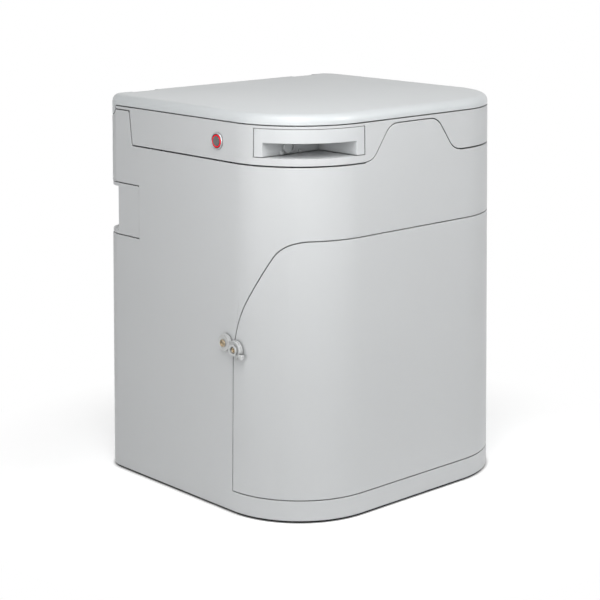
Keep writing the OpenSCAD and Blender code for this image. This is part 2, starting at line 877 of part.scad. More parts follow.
module power_inlet() {
  color(dark) difference() {
    union() {
      rod_y(inlet_y, inlet_y + inlet_l, inlet_x, inlet_z, 7.8);
      rod_y(half_d(inlet_z) - 8, half_d(inlet_z) - wall - fit, inlet_x, inlet_z, 11);
    }
    rod_y(inlet_y + 6, inlet_y + inlet_l + 9, inlet_x, inlet_z, 4);
  }
}

// Leads from the control box to the fan, the drive motor and the power inlet
module wiring() {
  fan_x = lead_x + 26;
  z = control_z + control_h / 2 - 2;
  color(dark) {
    rod_x(control_half - 0.5, fan_x, lead_y, z, lead_r);
    translate([fan_x, lead_y, z]) sphere(r = lead_r);
    translate([fan_x, lead_y, z]) cylinder(r = lead_r, h = vent_z - fan_size / 2 - z + eps);
    translate([lead_x, lead_y, inlet_z]) cylinder(r = lead_r, h = z - inlet_z);
    translate([lead_x, lead_y, inlet_z]) sphere(r = lead_r);
    rod_y(lead_y, inlet_y - fit, lead_x, inlet_z, lead_r);
  }
}

module level_sensor() {
  x0 = bin_right - 44;
  x1 = x0 + 20;
  y = divider_y;
  z = divider_top;
  color(dark) {
    span([x0, y - 4, z - 28], [x1, y - eps, z + 6]);
    span([x0, y - 4, z + 1.5], [x1, y + 4, z + 6]);
    span([x0, y + 2.8, z - 10], [x1, y + 4.4, z + 6]);
  }
}

// ---------------------------------------------------------------- solids bin and agitator

module solids_bin() {
  color(bin_colour) difference() {
    union() {
      translate([0, 0, bin_floor])
        linear_extrude(bin_top - bin_floor - 4)
          rounded(bin_left, bin_front, bin_right, bin_rear, 20);
      translate([0, 0, bin_top - 4])
        linear_extrude(4) rounded(bin_left - 5, bin_front - 3, bin_right + 5, bin_rear + 4, 24);
      for (x = [bin_left - 3, bin_right - 3])
        rod_x(x, x + 6, bin_y, shaft_z, shaft_r + 8);
    }
    translate([0, 0, bin_floor + bin_wall])
      linear_extrude(bin_top)
        rounded(bin_left + bin_wall, bin_front + bin_wall, bin_right - bin_wall, bin_rear - bin_wall, 17);
    rod_x(bin_left - 10, bin_right + 10, bin_y, shaft_z, shaft_r + 3);
  }
}

module bin_seal() {
  color(dark) translate([0, 0, bin_top])
    linear_extrude(1.8) difference() {
      rounded(bin_left - 3, bin_front - 1.5, bin_right + 3, bin_rear + 2.5, 22);
      rounded(bin_left + 1, bin_front + 1, bin_right - 1, bin_rear - 1, 19);
    }
}

module shaft_bushes() {
  color([0.9, 0.9, 0.86]) for (side = [0, 1]) {
    x0 = side == 0 ? bin_left - 3 : bin_right - bin_wall;
    difference() {
      union() {
        rod_x(x0, x0 + 6, bin_y, shaft_z, shaft_r + 2.9);
        rod_x(side == 0 ? x0 + 6 : x0 - 2, side == 0 ? x0 + 8 : x0, bin_y, shaft_z, shaft_r + 6);
      }
      rod_x(x0 - 10, x0 + 20, bin_y, shaft_z, shaft_r + running);
    }
  }
}

module agitator_shaft() {
  color(steel) {
    rod_x(bin_left - 2.5, coupling_x + 0.6, bin_y, shaft_z, shaft_r);
    span([coupling_x + 0.4, bin_y - tang_t / 2, shaft_z - 10],
      [coupling_x + 6, bin_y + tang_t / 2, shaft_z + 10]);
  }
}

module agitator_paddles() {
  pitch = (bin_right - bin_left - 70) / (paddle_count - 1);
  color(steel) for (i = [0:paddle_count - 1])
    translate([bin_left + 35 + i * pitch, bin_y, shaft_z]) rotate([i * 72, 0, 0]) difference() {
      union() {
        rotate([0, 90, 0]) cylinder(r = shaft_r + 4, h = 14, center = true);
        translate([-3, -7, -paddle_r]) cube([6, 14, 2 * paddle_r]);
      }
      rotate([0, 90, 0]) cylinder(r = shaft_r, h = 20, center = true);
    }
}

// ---------------------------------------------------------------- urine bottle

module urine_bottle() {
  neck_y = drain_y + 5;
  color([0.86, 0.87, 0.86]) difference() {
    union() {
      translate([0, 0, bottle_floor])
        linear_extrude(bottle_top - bottle_floor)
          rounded(-bottle_w / 2, bottle_front, bottle_w / 2, bottle_rear, 40);
      translate([0, neck_y, bottle_top - 1]) cylinder(r = neck_r, h = neck_top - bottle_top + 1);
      translate([0, neck_y, neck_top - 14]) cylinder(r = neck_r + 2, h = 2.5);
    }
    translate([0, 0, bottle_floor + bottle_wall])
      linear_extrude(bottle_top - bottle_floor - 2 * bottle_wall)
        rounded(-bottle_w / 2 + bottle_wall, bottle_front + bottle_wall, bottle_w / 2 - bottle_wall,
          bottle_rear - bottle_wall, 37.5);
    translate([0, neck_y, bottle_top - 10]) cylinder(r = neck_r - bottle_wall, h = 60);
  }
}

// Carry handles that bridge the bottle's shoulder
module bottle_handle() {
  inner = 38;
  outer = 100;
  y = bottle_rear - 22;
  color([0.86, 0.87, 0.86]) for (side = [-1, 1]) {
    for (x = [inner, outer]) {
      translate([side * x, y, bottle_top]) cylinder(r = 7, h = handle_bar_z - bottle_top);
      translate([side * x, y, handle_bar_z]) sphere(r = 7);
    }
    rod_x(side > 0 ? inner : -outer, side > 0 ? outer : -inner, y, handle_bar_z, 6);
  }
}

// ---------------------------------------------------------------- upper housing

module upper_housing() {
  color(shell_colour) difference() {
    union() {
      difference() {
        body_skin(housing_low, housing_top, 0, wall);
        span([-far, hinge_y - hinge_r - 1, 400], [far, far, 600]);
        along_x(-far, far) polygon([
          [block_front_low - seam - 1, 400], [block_front_low - seam - 1, band_z],
          [block_front_high - seam - 1, housing_top - deck_t], [far, housing_top - deck_t], [far, 400]
        ]);
      }
      intersection() {
        body_block(housing_top - deck_t, housing_top, 0);
        span([-far, -far, 400], [far, hinge_y - hinge_r - 1, 600]);
      }
      // back wall
      intersection() {
        body_block(housing_low, housing_top - 1, 1);
        along_x(-far, far) polygon([
          [block_front_low - seam - wall, housing_low], [block_front_low - seam, housing_low],
          [block_front_high - seam - 0.6, housing_top - 1],
          [block_front_high - seam - 0.6 - wall, housing_top - 1]
        ]);
      }
      // niche round the pull handle
      intersection() {
        body_block(ledge_z - 3, housing_top - 1, 1);
        span([-far, -far, 400], [handle_x + half_gap + liner_t, handle_y + half_gap + liner_t, 600]);
      }
      // hinge ears
      for (side = [-1, 1]) {
        x0 = side * housing_ear_x - ear_w / 2;
        rod_x(x0, x0 + ear_w, hinge_y, hinge_z, ear_r);
        span([x0, hinge_y - hinge_r - 8, housing_top - deck_t], [x0 + ear_w, hinge_y, housing_top]);
      }
      // ribs under the top plate, beside the bowl
      for (side = [-1, 1])
        span([side * rib_x - rib_t / 2, -20, housing_low + 6],
          [side * rib_x + rib_t / 2, gate_rear, housing_top - 1]);
    }
    // room for the rear block of the base
    difference() {
      span([-far, block_front_low - seam, 400], [far, hinge_y - swing_r, block_top + seam]);
      along_x(-far, far) polygon([
        [0, 400], [block_front_low - seam, 400], [block_front_low - seam, band_z],
        [block_front_high - seam, block_top], [block_front_high - seam, 480], [0, 480]
      ]);
    }
    translate([0, 0, housing_top - 10]) linear_extrude(20) opening_outline(9);
    along_y(-far, -130) tongue_profile(seam);
    // corner for the pull handle
    span([-far, -far, ledge_z], [handle_x + half_gap, handle_y + half_gap, handle_high + 0.5]);
    rod_y(handle_y, guide_y, -pull_rod_x, pull_rod_z, pull_rod_r + 0.6);
    rod_x(-far, -rib_x + 18, button_y, button_z, button_barrel_r + 0.2);
    rod_x(-far, far, hinge_y, hinge_z, rod_r + running);
  }
}

module seat_ring() {
  color(lid_colour) difference() {
    union() {
      body_block(housing_top, housing_top + seat_t - 2, 16);
      body_block(housing_top + seat_t - 2.2, housing_top + seat_t, 19);
    }
    translate([0, 0, 400]) linear_extrude(200) opening_outline();
    translate([0, 0, housing_top - 1]) linear_extrude(3.4) opening_outline(15);
    span([-far, hinge_y - hinge_r - 12, 400], [far, far, 600]);
  }
}

module diverter_bowl() {
  low = bowl_bottom;
  top = housing_top + 2;
  ridge = low + 34;
  color(lid_colour) difference() {
    union() {
      translate([0, 0, housing_top]) linear_extrude(2) opening_outline(14);
      bowl_rear(low, top - 0.5, 0);
      bowl_front(low, top - 0.5, 0);
      translate([0, 0, low - 3])
        linear_extrude(3.2) rounded(-gate_half - 8, gate_front - 2, gate_half + 8, gate_rear, 6);
      translate([0, drain_y, neck_top + 5]) cylinder(r = drain_r, h = low - neck_top);
    }
    bowl_rear(low - 4, top + 1, bowl_wall);
    bowl_front(low + 2.5, top + 1, bowl_wall);
    translate([0, 0, ridge]) linear_extrude(200) opening_outline(-bowl_wall);
    translate([0, drain_y, 300]) cylinder(r = drain_r - 2.2, h = 100);
  }
}

// Rear funnel over the trap door
module bowl_rear(z0, z1, inset) {
  hull() {
    translate([0, 0, z1 - 1]) linear_extrude(1) intersection() {
      opening_outline(4 - inset);
      translate([-far, -20 + inset]) square([2 * far, far]);
    }
    translate([0, 0, z0])
      linear_extrude(1)
        rounded(-gate_half + 8 + inset, gate_front + 8 + inset,
          gate_half - 8 - inset, gate_rear - 8 - inset, 14);
  }
}

// Front funnel that leads urine to the drain
module bowl_front(z0, z1, inset) {
  hull() {
    translate([0, 0, z1 - 1]) linear_extrude(1) intersection() {
      opening_outline(4 - inset);
      translate([-far, -far]) square([2 * far, far - 6 - inset]);
    }
    translate([0, drain_y, z0]) cylinder(r = drain_r + 3 - inset, h = 1);
    translate([0, gate_front - 14, z0 + 12]) cylinder(r = 34 - inset, h = 1);
  }
}

module gate_rails() {
  color(shell_colour) for (side = [-1, 1]) scale([side, 1, 1]) {
    y0 = gate_front - gate_travel;
    span([gate_half + fit, y0, rail_low], [gate_half + 6, gate_rear, bowl_bottom - 3]);
    span([gate_half - 6, y0, rail_low], [gate_half + fit + 0.1, gate_rear, gate_z - fit]);
  }
}

module rod_guide() {
  color(dark) difference() {
    span([-pull_rod_x - 9, guide_y, pull_rod_z - 9],
      [-pull_rod_x + 9, guide_y + 9.5, housing_top - deck_t]);
    rod_y(guide_y - 1, guide_y + 11, -pull_rod_x, pull_rod_z, pull_rod_r + running);
  }
}

module button_body() {
  x = half_w(button_z - button_rim_r);
  color(steel) difference() {
    union() {
      rod_x(-x - 1.6, -x, button_y, button_z, button_rim_r);
      rod_x(-x - 0.5, -x + 26, button_y, button_z, button_barrel_r);
      rod_x(-half_w(button_z) + wall + fit, -half_w(button_z) + wall + 4, button_y, button_z,
        button_rim_r + 1);
    }
    rod_x(-x - 3, -x - 0.8, button_y, button_z, button_ring_r + 0.1);
    rod_x(-x - 3, -x + 6, button_y, button_z, button_cap_r + 0.3);
  }
}

module button_ring() {
  x = half_w(button_z - button_rim_r);
  color([0.80, 0.10, 0.08]) difference() {
    rod_x(-x - 2, -x - 0.8, button_y, button_z, button_ring_r);
    rod_x(-x - 4, -x + 1, button_y, button_z, button_cap_r + 0.3);
  }
}

module button_cap() {
  x = half_w(button_z - button_rim_r);
  color([0.38, 0.38, 0.39]) rod_x(-x - 2.2, -x + 5.7 - button_travel, button_y, button_z, button_cap_r);
}

module rail_screws() {
  color(steel) for (side = [-1, 1], y = [gate_front + 12, gate_rear - 14]) {
    translate([side * (gate_half + 4), y, rail_low - 1.6]) cylinder(r = 2.6, h = 1.6);
  }
}

// ---------------------------------------------------------------- pull handle and gate

module pull_handle() {
  color(lid_colour) difference() {
    intersection() {
      body_block(handle_low, handle_high, 0);
      span([-far, -far, handle_low], [handle_x - half_gap, handle_y - half_gap, handle_high]);
    }
    // finger slot and the pocket behind it
    span([-far, -far, handle_low - 1], [pocket_x, pocket_y, slot_high]);
    intersection() {
      body_block(slot_high - 1, handle_high - handle_wall, handle_wall + 1);
      span([-far, -far, slot_high - 1], [pocket_x, pocket_y, handle_high - handle_wall]);
    }
    // hollow behind the legs
    intersection() {
      body_block(handle_low - 1, handle_high - handle_wall, handle_wall + 1);
      difference() {
        span([-far, -far, handle_low - 1],
          [far, handle_y - half_gap - handle_wall, handle_high - handle_wall]);
        span([-far, -far, handle_low - 2], [pocket_x + handle_wall, pocket_y + handle_wall, handle_high]);
        span([handle_x - half_gap - handle_wall, -far, 0], [far, far, 600]);
      }
    }
    rod_y(pocket_y - 20, handle_y + 5, -pull_rod_x, pull_rod_z, 2);
  }
  color(lid_colour) {
    difference() {
      rod_y(pocket_y - 3, pocket_y + 1, -pull_rod_x, pull_rod_z, boss_r);
      rod_y(pocket_y - 10, pocket_y + 4, -pull_rod_x, pull_rod_z, 2);
      rod_y(pocket_y - 10, pocket_y - 1, -pull_rod_x, pull_rod_z, 3.4);
    }
    for (x = [-pull_rod_x - 13, -pull_rod_x + 14])
      span([x - 2, pocket_y - 2.5, handle_low], [x + 2, pocket_y + 1, handle_low + 4]);
  }
}

module pull_rod() {
  color(steel) difference() {
    rod_y(handle_y - half_gap + fit, gate_front + 14, -pull_rod_x, pull_rod_z, pull_rod_r);
    rod_y(handle_y - 5, handle_y + 12, -pull_rod_x, pull_rod_z, 2);
  }
}

module handle_screw() {
  color(steel) {
    rod_y(pocket_y - 1.3, handle_y + 10, -pull_rod_x, pull_rod_z, 1.9);
    rod_y(pocket_y - 2.6, pocket_y - 1.1, -pull_rod_x, pull_rod_z, 3.2);
  }
}

module gate_plate() {
  color(bin_colour) translate([0, 0, gate_z])
    linear_extrude(gate_t) rounded(-gate_half, gate_front, gate_half, gate_rear - fit, 4);
}

module gate_bracket() {
  y0 = gate_front + 2;
  color(steel) difference() {
    union() {
      span([-pull_rod_x - 3, y0, gate_z - 12], [-pull_rod_x + 1, y0 + 12, pull_rod_z + 7]);
      span([-pull_rod_x - 7, y0, pull_rod_z - 7], [-pull_rod_x + 7, y0 + 12, pull_rod_z + 7]);
      span([-pull_rod_x - 3, y0, gate_z - 12], [-gate_half + 46, y0 + 12, gate_z - 8]);
      span([-gate_half + 16, y0, gate_z - 9], [-gate_half + 46, y0 + 12, gate_z]);
    }
    rod_y(y0 - 5, y0 + 20, -pull_rod_x, pull_rod_z, pull_rod_r);
  }
}

// ---------------------------------------------------------------- lid

// Rounded slab of the lid before it is hollowed
module lid_form(edge) {
  hull() {
    for (side = [-1, 1]) {
      lid_corner(side * front_cx, front_cy, front_corner_r, edge);
      lid_corner(side * rear_cx, rear_cy, rear_corner_r, edge);
    }
  }
}

// Corner of the lid: a drafted disc with a rounded upper edge
module lid_corner(x, y, r, edge) {
  z0 = hinge_z - hinge_r;
  z1 = lid_top - edge;
  translate([x, y, 0]) {
    translate([0, 0, z0]) cylinder(r1 = r - draft * z0, r2 = r - draft * z1, h = z1 - z0, $fn = 96);
    rotate_extrude($fn = 96)
      translate([r - draft * z1 - edge, z1]) intersection() {
        circle(r = edge, $fn = 32);
        square([edge, edge]);
      }
  }
}

module lid() {
  color(lid_colour) difference() {
    intersection() {
      lid_form(9);
      union() {
        span([-far, -far, lid_low], [far, hinge_y, 600]);
        rod_x(-far, far, hinge_y, hinge_z, hinge_r);
      }
    }
    // hollow over the seat ring
    intersection() {
      body_block(lid_low - 1, lid_top - 3, 9);
      span([-far, -far, 400], [far, hinge_y - hinge_r - 5, 600]);
    }
    // gaps for the hinge ears
    for (side = [-1, 1]) {
      x0 = side * (base_ear_x + housing_ear_x) / 2 - ear_w - 3 - half_gap;
      rod_x(x0, x0 + 2 * (ear_w + 3 + half_gap), hinge_y, hinge_z, hinge_r + 0.6);
    }
    rod_x(-base_ear_x - ear_w / 2 - 22.5, far, hinge_y, hinge_z, rod_r + running);
    rod_x(base_ear_x + ear_w / 2 + 22, far, hinge_y, hinge_z, rod_r + 1 + running);
  }
}

module lid_bumpers() {
  color(dark) for (side = [-1, 1], y = [front_cy - 11, front_cy + 137])
    translate([side * (half_w(lid_low) - 5), y, housing_top + fit])
      cylinder(r = 2.6, h = lid_low - housing_top - fit);
}

// ---------------------------------------------------------------- door and latch

module front_door() {
  color(shell_colour) difference() {
    union() {
      intersection() {
        body_skin(door_bottom - 2, door_top + 2, 0, door_wall);
        door_region(-half_gap);
      }
      // stiffening frame behind the door
      intersection() {
        body_skin(door_bottom, door_top, door_wall - eps, 9.5);
        difference() {
          door_region(-jamb - 1.5);
          door_region(-jamb - 4);
        }
      }
      for (zc = knuckle_z) knuckle(zc, 1, -1);
    }
    for (zc = knuckle_z, index = [0, 2]) knuckle_relief(zc, index);
    rod_x(-latch_back - 1, -half_w(latch_z) + 6, latch_y + stud_dy, latch_z + stud_dz, 2);
  }
}

module latch_stud() {
  y = latch_y + stud_dy;
  z = latch_z + stud_dz;
  color([0.86, 0.85, 0.82]) difference() {
    union() {
      rod_x(-latch_front - 1, -half_w(z + stud_head_r), y, z, stud_r);
      rod_x(-half_w(z) - 0.1, -half_w(z) + door_wall - 0.2, y, z, 2);
      rod_x(-outer_x, -latch_front - fit, y, z, stud_head_r);
    }
    rod_x(-outer_x - 1, -outer_x + 1.2, y, z, 4);
    body_block(z - 20, z + 20, 0);
  }
  color([0.86, 0.85, 0.82]) rod_x(-half_w(z) - 0.3, -half_w(z) + door_wall - 0.2, y, z, 1.95);
}

// Outline of the latch around its pivot, as (y, z) points
module latch_outline() {
  reach = norm([stud_dy, stud_dz]);
  difference() {
    union() {
      circle(r = latch_lobe_r);
      translate([stud_dy, stud_dz]) circle(r = latch_hook_r);
      polygon([[0, latch_lobe_r], [stud_dy - 2, stud_dz + latch_hook_r], [stud_dy, stud_dz],
        [0, -latch_lobe_r + 3]]);
      polygon([[stud_dy - latch_hook_r + 0.6, stud_dz + 3], [stud_dy - latch_hook_r - 4.2, stud_dz - 8],
        [stud_dy - latch_hook_r - 1, stud_dz - 11.5], [stud_dy - latch_hook_r + 4, stud_dz - 8]]);
    }
    translate([stud_dy, stud_dz]) circle(r = stud_r + 0.5);
    difference() {
      circle(r = reach + stud_r + 0.5);
      circle(r = reach - stud_r - 0.5);
      polygon([[0, 0], 3 * [stud_dy, stud_dz], [-80, 60], [60, 80], [80, -60], [10, -60]]);
    }
    circle(r = 2.5 + running);
  }
}

module latch_hook() {
  color([0.86, 0.85, 0.82]) translate([0, latch_y, latch_z])
    along_x(-latch_front, -latch_back) latch_outline();
}

module partition_screws() {
  reach = body_w / 2 - 51;
  color(steel) for (i = [-3:2:3])
    rod_y(block_front_low - 1.6, block_front_low, i * reach / 3, panel_top - 4, 3.2);
}

// ---------------------------------------------------------------- the whole

base_shell();
floor_pan();
door_frame();
corner_cups();
foot_ring();
bottle_tray();
bin_cradle();
bay_divider();
service_partition();
hinge_rod();
rod_end_cap();
door_hinge_pins();
latch_screw();
rim_pads();
vent_blank_plate();
vent_port();
insect_screen();
fan_frame();
fan_rotor();
drive_bracket();
drive_gearbox();
drive_motor();
motor_coupling();
control_box();
circuit_board();
power_inlet();
wiring();
level_sensor();
solids_bin();
bin_seal();
shaft_bushes();
agitator_shaft();
agitator_paddles();
urine_bottle();
bottle_handle();
upper_housing();
seat_ring();
diverter_bowl();
gate_rails();
rod_guide();
button_body();
button_ring();
button_cap();
rail_screws();
pull_handle();
pull_rod();
gate_plate();
gate_bracket();
handle_screw();
lid();
lid_bumpers();
front_door();
latch_stud();
latch_hook();
partition_screws();
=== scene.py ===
"""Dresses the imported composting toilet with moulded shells, latch, button, bowl, bin, bottle, drive and studio."""

import logging
import math
from dataclasses import dataclass, field
from enum import Enum

import bmesh
import bpy
from mathutils import Matrix, Vector


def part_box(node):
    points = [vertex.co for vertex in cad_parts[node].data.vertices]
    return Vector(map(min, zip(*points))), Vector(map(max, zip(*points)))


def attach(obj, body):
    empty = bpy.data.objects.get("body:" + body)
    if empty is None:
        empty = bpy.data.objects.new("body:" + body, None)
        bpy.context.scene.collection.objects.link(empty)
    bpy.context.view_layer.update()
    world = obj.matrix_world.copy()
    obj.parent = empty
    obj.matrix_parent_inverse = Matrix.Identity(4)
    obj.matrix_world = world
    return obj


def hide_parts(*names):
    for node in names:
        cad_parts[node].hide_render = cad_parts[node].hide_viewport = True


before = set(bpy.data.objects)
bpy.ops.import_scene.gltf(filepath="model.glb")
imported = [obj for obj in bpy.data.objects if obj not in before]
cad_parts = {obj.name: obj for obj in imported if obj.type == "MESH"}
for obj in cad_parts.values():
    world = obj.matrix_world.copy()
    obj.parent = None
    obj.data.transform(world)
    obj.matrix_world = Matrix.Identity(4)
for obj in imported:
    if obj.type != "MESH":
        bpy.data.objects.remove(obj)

MM = 0.001
POLE = 1e-6
OUT_X, OUT_LEFT, OUT_FRONT = (1.0, 0.0, 0.0), (-1.0, 0.0, 0.0), (0.0, -1.0, 0.0)
WHITE = (1.0, 1.0, 1.0, 1.0)
LOG = logging.getLogger("composting_toilet")
Colour = tuple[float, float, float]
Point = tuple[float, float]
Place = tuple[float, float, float]
Pair = tuple[float, float]
Triple = tuple[float, float, float]


class Slot(Enum):
    """Material slots of the record."""

    SHELL = "shell"
    LID = "lid_plastic"
    DARK = "dark_plastic"
    RUBBER = "seal_rubber"
    BIN = "bin_plastic"
    BOTTLE = "bottle_plastic"
    BUSH = "bush_plastic"
    LATCH = "latch_plastic"
    STEEL = "steel"
    BRASS = "brass"
    RING = "button_ring"
    CAP = "button_cap"
    CIRCUIT = "circuit"


class Body(Enum):
    """Bodies that pieces ride on."""

    BASE = "base"
    HOUSING = "upper_housing"
    GATE = "gate"
    LID = "lid"
    DOOR = "front_door"
    LATCH = "latch"
    BUTTON = "button"
    AGITATOR = "agitator"
    COUPLING = "motor_output"
    FAN = "fan_rotor"


# ---------------------------------------------------------------- node trees


@dataclass
class Tree:
    """Adds nodes to a shader or geometry tree and links them."""

    tree: bpy.types.NodeTree

    @classmethod
    def of(cls, owner: bpy.types.Material | bpy.types.World) -> "Tree":
        """Opens the emptied node tree of a material or a world.

        Args:
            owner: the material or world.

        Returns:
            Its tree, without nodes.
        """
        owner.use_nodes = True
        owner.node_tree.nodes.clear()
        return cls(owner.node_tree)

    def link(self, source: bpy.types.NodeSocket, target: bpy.types.NodeSocket) -> None:
        """Links an output to an input."""
        self.tree.links.new(source, target)

    def add(self, kind: str, inputs: dict | None = None, **settings: object) -> bpy.types.Node:
        """Adds one node.

        Args:
            kind: Blender's name of the node type.
            inputs: values or output sockets by the name or index of the input.
            settings: properties of the node itself.

        Returns:
            The new node.
        """
        node = self.tree.nodes.new(kind)
        for name, value in settings.items():
            setattr(node, name, value)
        for key, value in (inputs or {}).items():
            if isinstance(value, bpy.types.NodeSocket):
                self.link(value, node.inputs[key])
            else:
                node.inputs[key].default_value = value
        return node

    def first(self, kind: str, inputs: dict | None = None, **settings: object) -> bpy.types.NodeSocket:
        """Adds one node and returns its first output."""
        return self.add(kind, inputs, **settings).outputs[0]

    def calc(self, operation: str, *values: object) -> bpy.types.NodeSocket:
        """Adds a Math node for one operation and returns its result."""
        return self.first("ShaderNodeMath", dict(enumerate(values)), operation=operation)

    def place(self, group: bpy.types.NodeTree, inputs: dict) -> bpy.types.Node:
        """Places a shared effect with this material's values and returns its node."""
        return self.add("ShaderNodeGroup", inputs, node_tree=group)

    def join(self, *parts: bpy.types.NodeSocket) -> bpy.types.NodeSocket:
        """Joins geometries into one.

        Args:
            parts: the geometries.

        Returns:
            The whole.
        """
        node = self.add("GeometryNodeJoinGeometry")
        for part in parts:
            self.link(part, node.inputs[0])
        return node.outputs[0]

    def socket(self, name: str, kind: str, outward: bool = False, value: object = None) -> None:
        """Adds a named input or output to a group's interface.

        Args:
            name: name of the socket.
            kind: its kind, such as Float or Vector.
            outward: whether it is an output.
            value: its value where nothing sets it.
        """
        made = self.tree.interface.new_socket(
            name, in_out="OUTPUT" if outward else "INPUT", socket_type=f"NodeSocket{kind}"
        )
        if value is not None:
            made.default_value = value


@dataclass(frozen=True)
class Effects:
    """The shared shader effects, each built once as a node group."""

    wave_pitch: float = 0.06
    wave_height: float = 1.8
    # range of ambient occlusion over which the painted seam shade comes in
    shut_sky: Pair = (0.1, 0.8)
    rough_swing: float = 0.16
    worn_edge: Pair = (0.51, 0.58)
    worn_gaps: Pair = (0.4, 0.65)
    worn_scale: float = 160.0
    line_swing: float = 0.3
    line_depth: float = 0.00001

    @staticmethod
    def group(name: str, inputs: dict, outputs: dict) -> tuple[Tree, bpy.types.Node, bpy.types.Node, bool]:
        """Makes or finds a shader group.

        Args:
            name: name of the group.
            inputs: kind and value of each input by its name.
            outputs: kind of each output by its name.

        Returns:
            The tree, its input and output nodes, and whether it still has to be filled.
        """
        found = bpy.data.node_groups.get(name)
        if found:
            return Tree(found), None, None, False
        tree = Tree(bpy.data.node_groups.new(name, "ShaderNodeTree"))
        for key, (kind, value) in inputs.items():
            tree.socket(key, kind, value=value)
        for key, kind in outputs.items():
            tree.socket(key, kind, outward=True)
        return tree, tree.add("NodeGroupInput"), tree.add("NodeGroupOutput"), True

    @classmethod
    def mould_grain(cls) -> bpy.types.NodeTree:
        """Height of the fine grain that a mould leaves, in metres.

        Returns:
            The group.
        """
        tree, come, leave, empty = cls.group(
            "mould grain",
            {"Vector": ("Vector", None), "Pitch": ("Float", 900.0), "Depth": ("Float", 0.00001)},
            {"Height": "Float"},
        )
        if empty:
            vector = come.outputs["Vector"]
            pitch = come.outputs["Pitch"]
            fine = tree.first("ShaderNodeTexNoise", {"Vector": vector, "Scale": pitch, "Detail": 2.0})
            slow = tree.calc("MULTIPLY", pitch, cls.wave_pitch)
            wave = tree.first("ShaderNodeTexNoise", {"Vector": vector, "Scale": slow, "Detail": 1.0})
            both = tree.calc("MULTIPLY_ADD", wave, cls.wave_height, fine)
            height = tree.calc("MULTIPLY", both, come.outputs["Depth"])
            tree.link(height, leave.inputs["Height"])
        return tree.tree

    @classmethod
    def seam_shade(cls) -> bpy.types.NodeTree:
        """Factor of painted shade that darkens seams, gaps and inner corners, from ambient occlusion.

        Returns:
            The group.
        """
        tree, come, leave, empty = cls.group(
            "seam shade",
            {"Reach": ("Float", 0.003), "Amount": ("Float", 0.7)},
            {"Shade": "Float"},
        )
        if empty:
            # painted shade: ambient occlusion within the reach darkens the colour
            near = tree.add("ShaderNodeAmbientOcclusion", {"Distance": come.outputs["Reach"]}, samples=8)
            shut, free = cls.shut_sky
            painted_shade = tree.first("ShaderNodeMapRange", {0: near.outputs["AO"], 1: shut, 2: free, 3: 1.0, 4: 0.0})
            lost = tree.calc("MULTIPLY", painted_shade, come.outputs["Amount"])
            shade = tree.calc("SUBTRACT", 1.0, lost)
            tree.link(shade, leave.inputs["Shade"])
        return tree.tree

    @classmethod
    def tone_drift(cls) -> bpy.types.NodeTree:
        """Colour and roughness that drift a little over a moulded surface, the colour also darkened by the painted
        shade fed to Shade.

        Returns:
            The group.
        """
        tree, come, leave, empty = cls.group(
            "tone drift",
            {
                "Vector": ("Vector", None),
                "Colour": ("Color", None),
                "Roughness": ("Float", 0.4),
                "Size": ("Float", 8.0),
                "Amount": ("Float", 0.03),
                "Shade": ("Float", 1.0),
            },
            {"Colour": "Color", "Roughness": "Float"},
        )
        if empty:
            noise = tree.add(
                "ShaderNodeTexNoise",
                {"Vector": come.outputs["Vector"], "Scale": come.outputs["Size"], "Detail": 3.0},
            )
            swing = tree.calc("SUBTRACT", noise.outputs[0], 0.5)
            drift = tree.calc("MULTIPLY_ADD", swing, come.outputs["Amount"], 1.0)
            # painted shade: the Shade input darkens the colour
            factor = tree.calc("MULTIPLY", drift, come.outputs["Shade"])
            colour = tree.first("ShaderNodeVectorMath", {0: come.outputs["Colour"], "Scale": factor}, operation="SCALE")
            rough = tree.calc("MULTIPLY_ADD", swing, cls.rough_swing, come.outputs["Roughness"])
            tree.link(colour, leave.inputs["Colour"])
            tree.link(rough, leave.inputs["Roughness"])
        return tree.tree

    @classmethod
    def edge_wear(cls) -> bpy.types.NodeTree:
        """Mask of rubbed edges, broken up by noise.

        Returns:
            The group.
        """
        tree, come, leave, empty = cls.group(
            "edge wear",
            {"Vector": ("Vector", None), "Amount": ("Float", 0.4)},
            {"Mask": "Float"},
        )
        if empty:
            point = tree.add("ShaderNodeNewGeometry").outputs["Pointiness"]
            smooth_edge, bare_edge = cls.worn_edge
            edge = tree.first("ShaderNodeMapRange", {0: point, 1: smooth_edge, 2: bare_edge, 3: 0.0, 4: 1.0})
            noise = tree.first(
                "ShaderNodeTexNoise", {"Vector": come.outputs["Vector"], "Scale": cls.worn_scale, "Detail": 4.0}
            )
            kept, rubbed = cls.worn_gaps
            broken = tree.first("ShaderNodeMapRange", {0: noise, 1: kept, 2: rubbed, 3: 0.0, 4: 1.0})
            mask = tree.calc("MULTIPLY", tree.calc("MULTIPLY", edge, broken), come.outputs["Amount"])
            tree.link(mask, leave.inputs["Mask"])
        return tree.tree

    @classmethod
    def brushing(cls) -> bpy.types.NodeTree:
        """Roughness and height of fine lines drawn along one direction.

        Returns:
            The group.
        """
        tree, come, leave, empty = cls.group(
            "brushing",
            {"Vector": ("Vector", None), "Stretch": ("Vector", None), "Roughness": ("Float", 0.3)},
            {"Roughness": "Float", "Height": "Float"},
        )
        if empty:
            along = tree.first(
                "ShaderNodeVectorMath", {0: come.outputs["Vector"], 1: come.outputs["Stretch"]}, operation="MULTIPLY"
            )
            lines = tree.first("ShaderNodeTexNoise", {"Vector": along, "Scale": 1.0, "Detail": 3.0})
            swing = tree.calc("SUBTRACT", lines, 0.5)
            rough = tree.calc("MULTIPLY_ADD", swing, cls.line_swing, come.outputs["Roughness"])
            height = tree.calc("MULTIPLY", lines, cls.line_depth)
            tree.link(rough, leave.inputs["Roughness"])
            tree.link(height, leave.inputs["Height"])
        return tree.tree


# ---------------------------------------------------------------- finishes


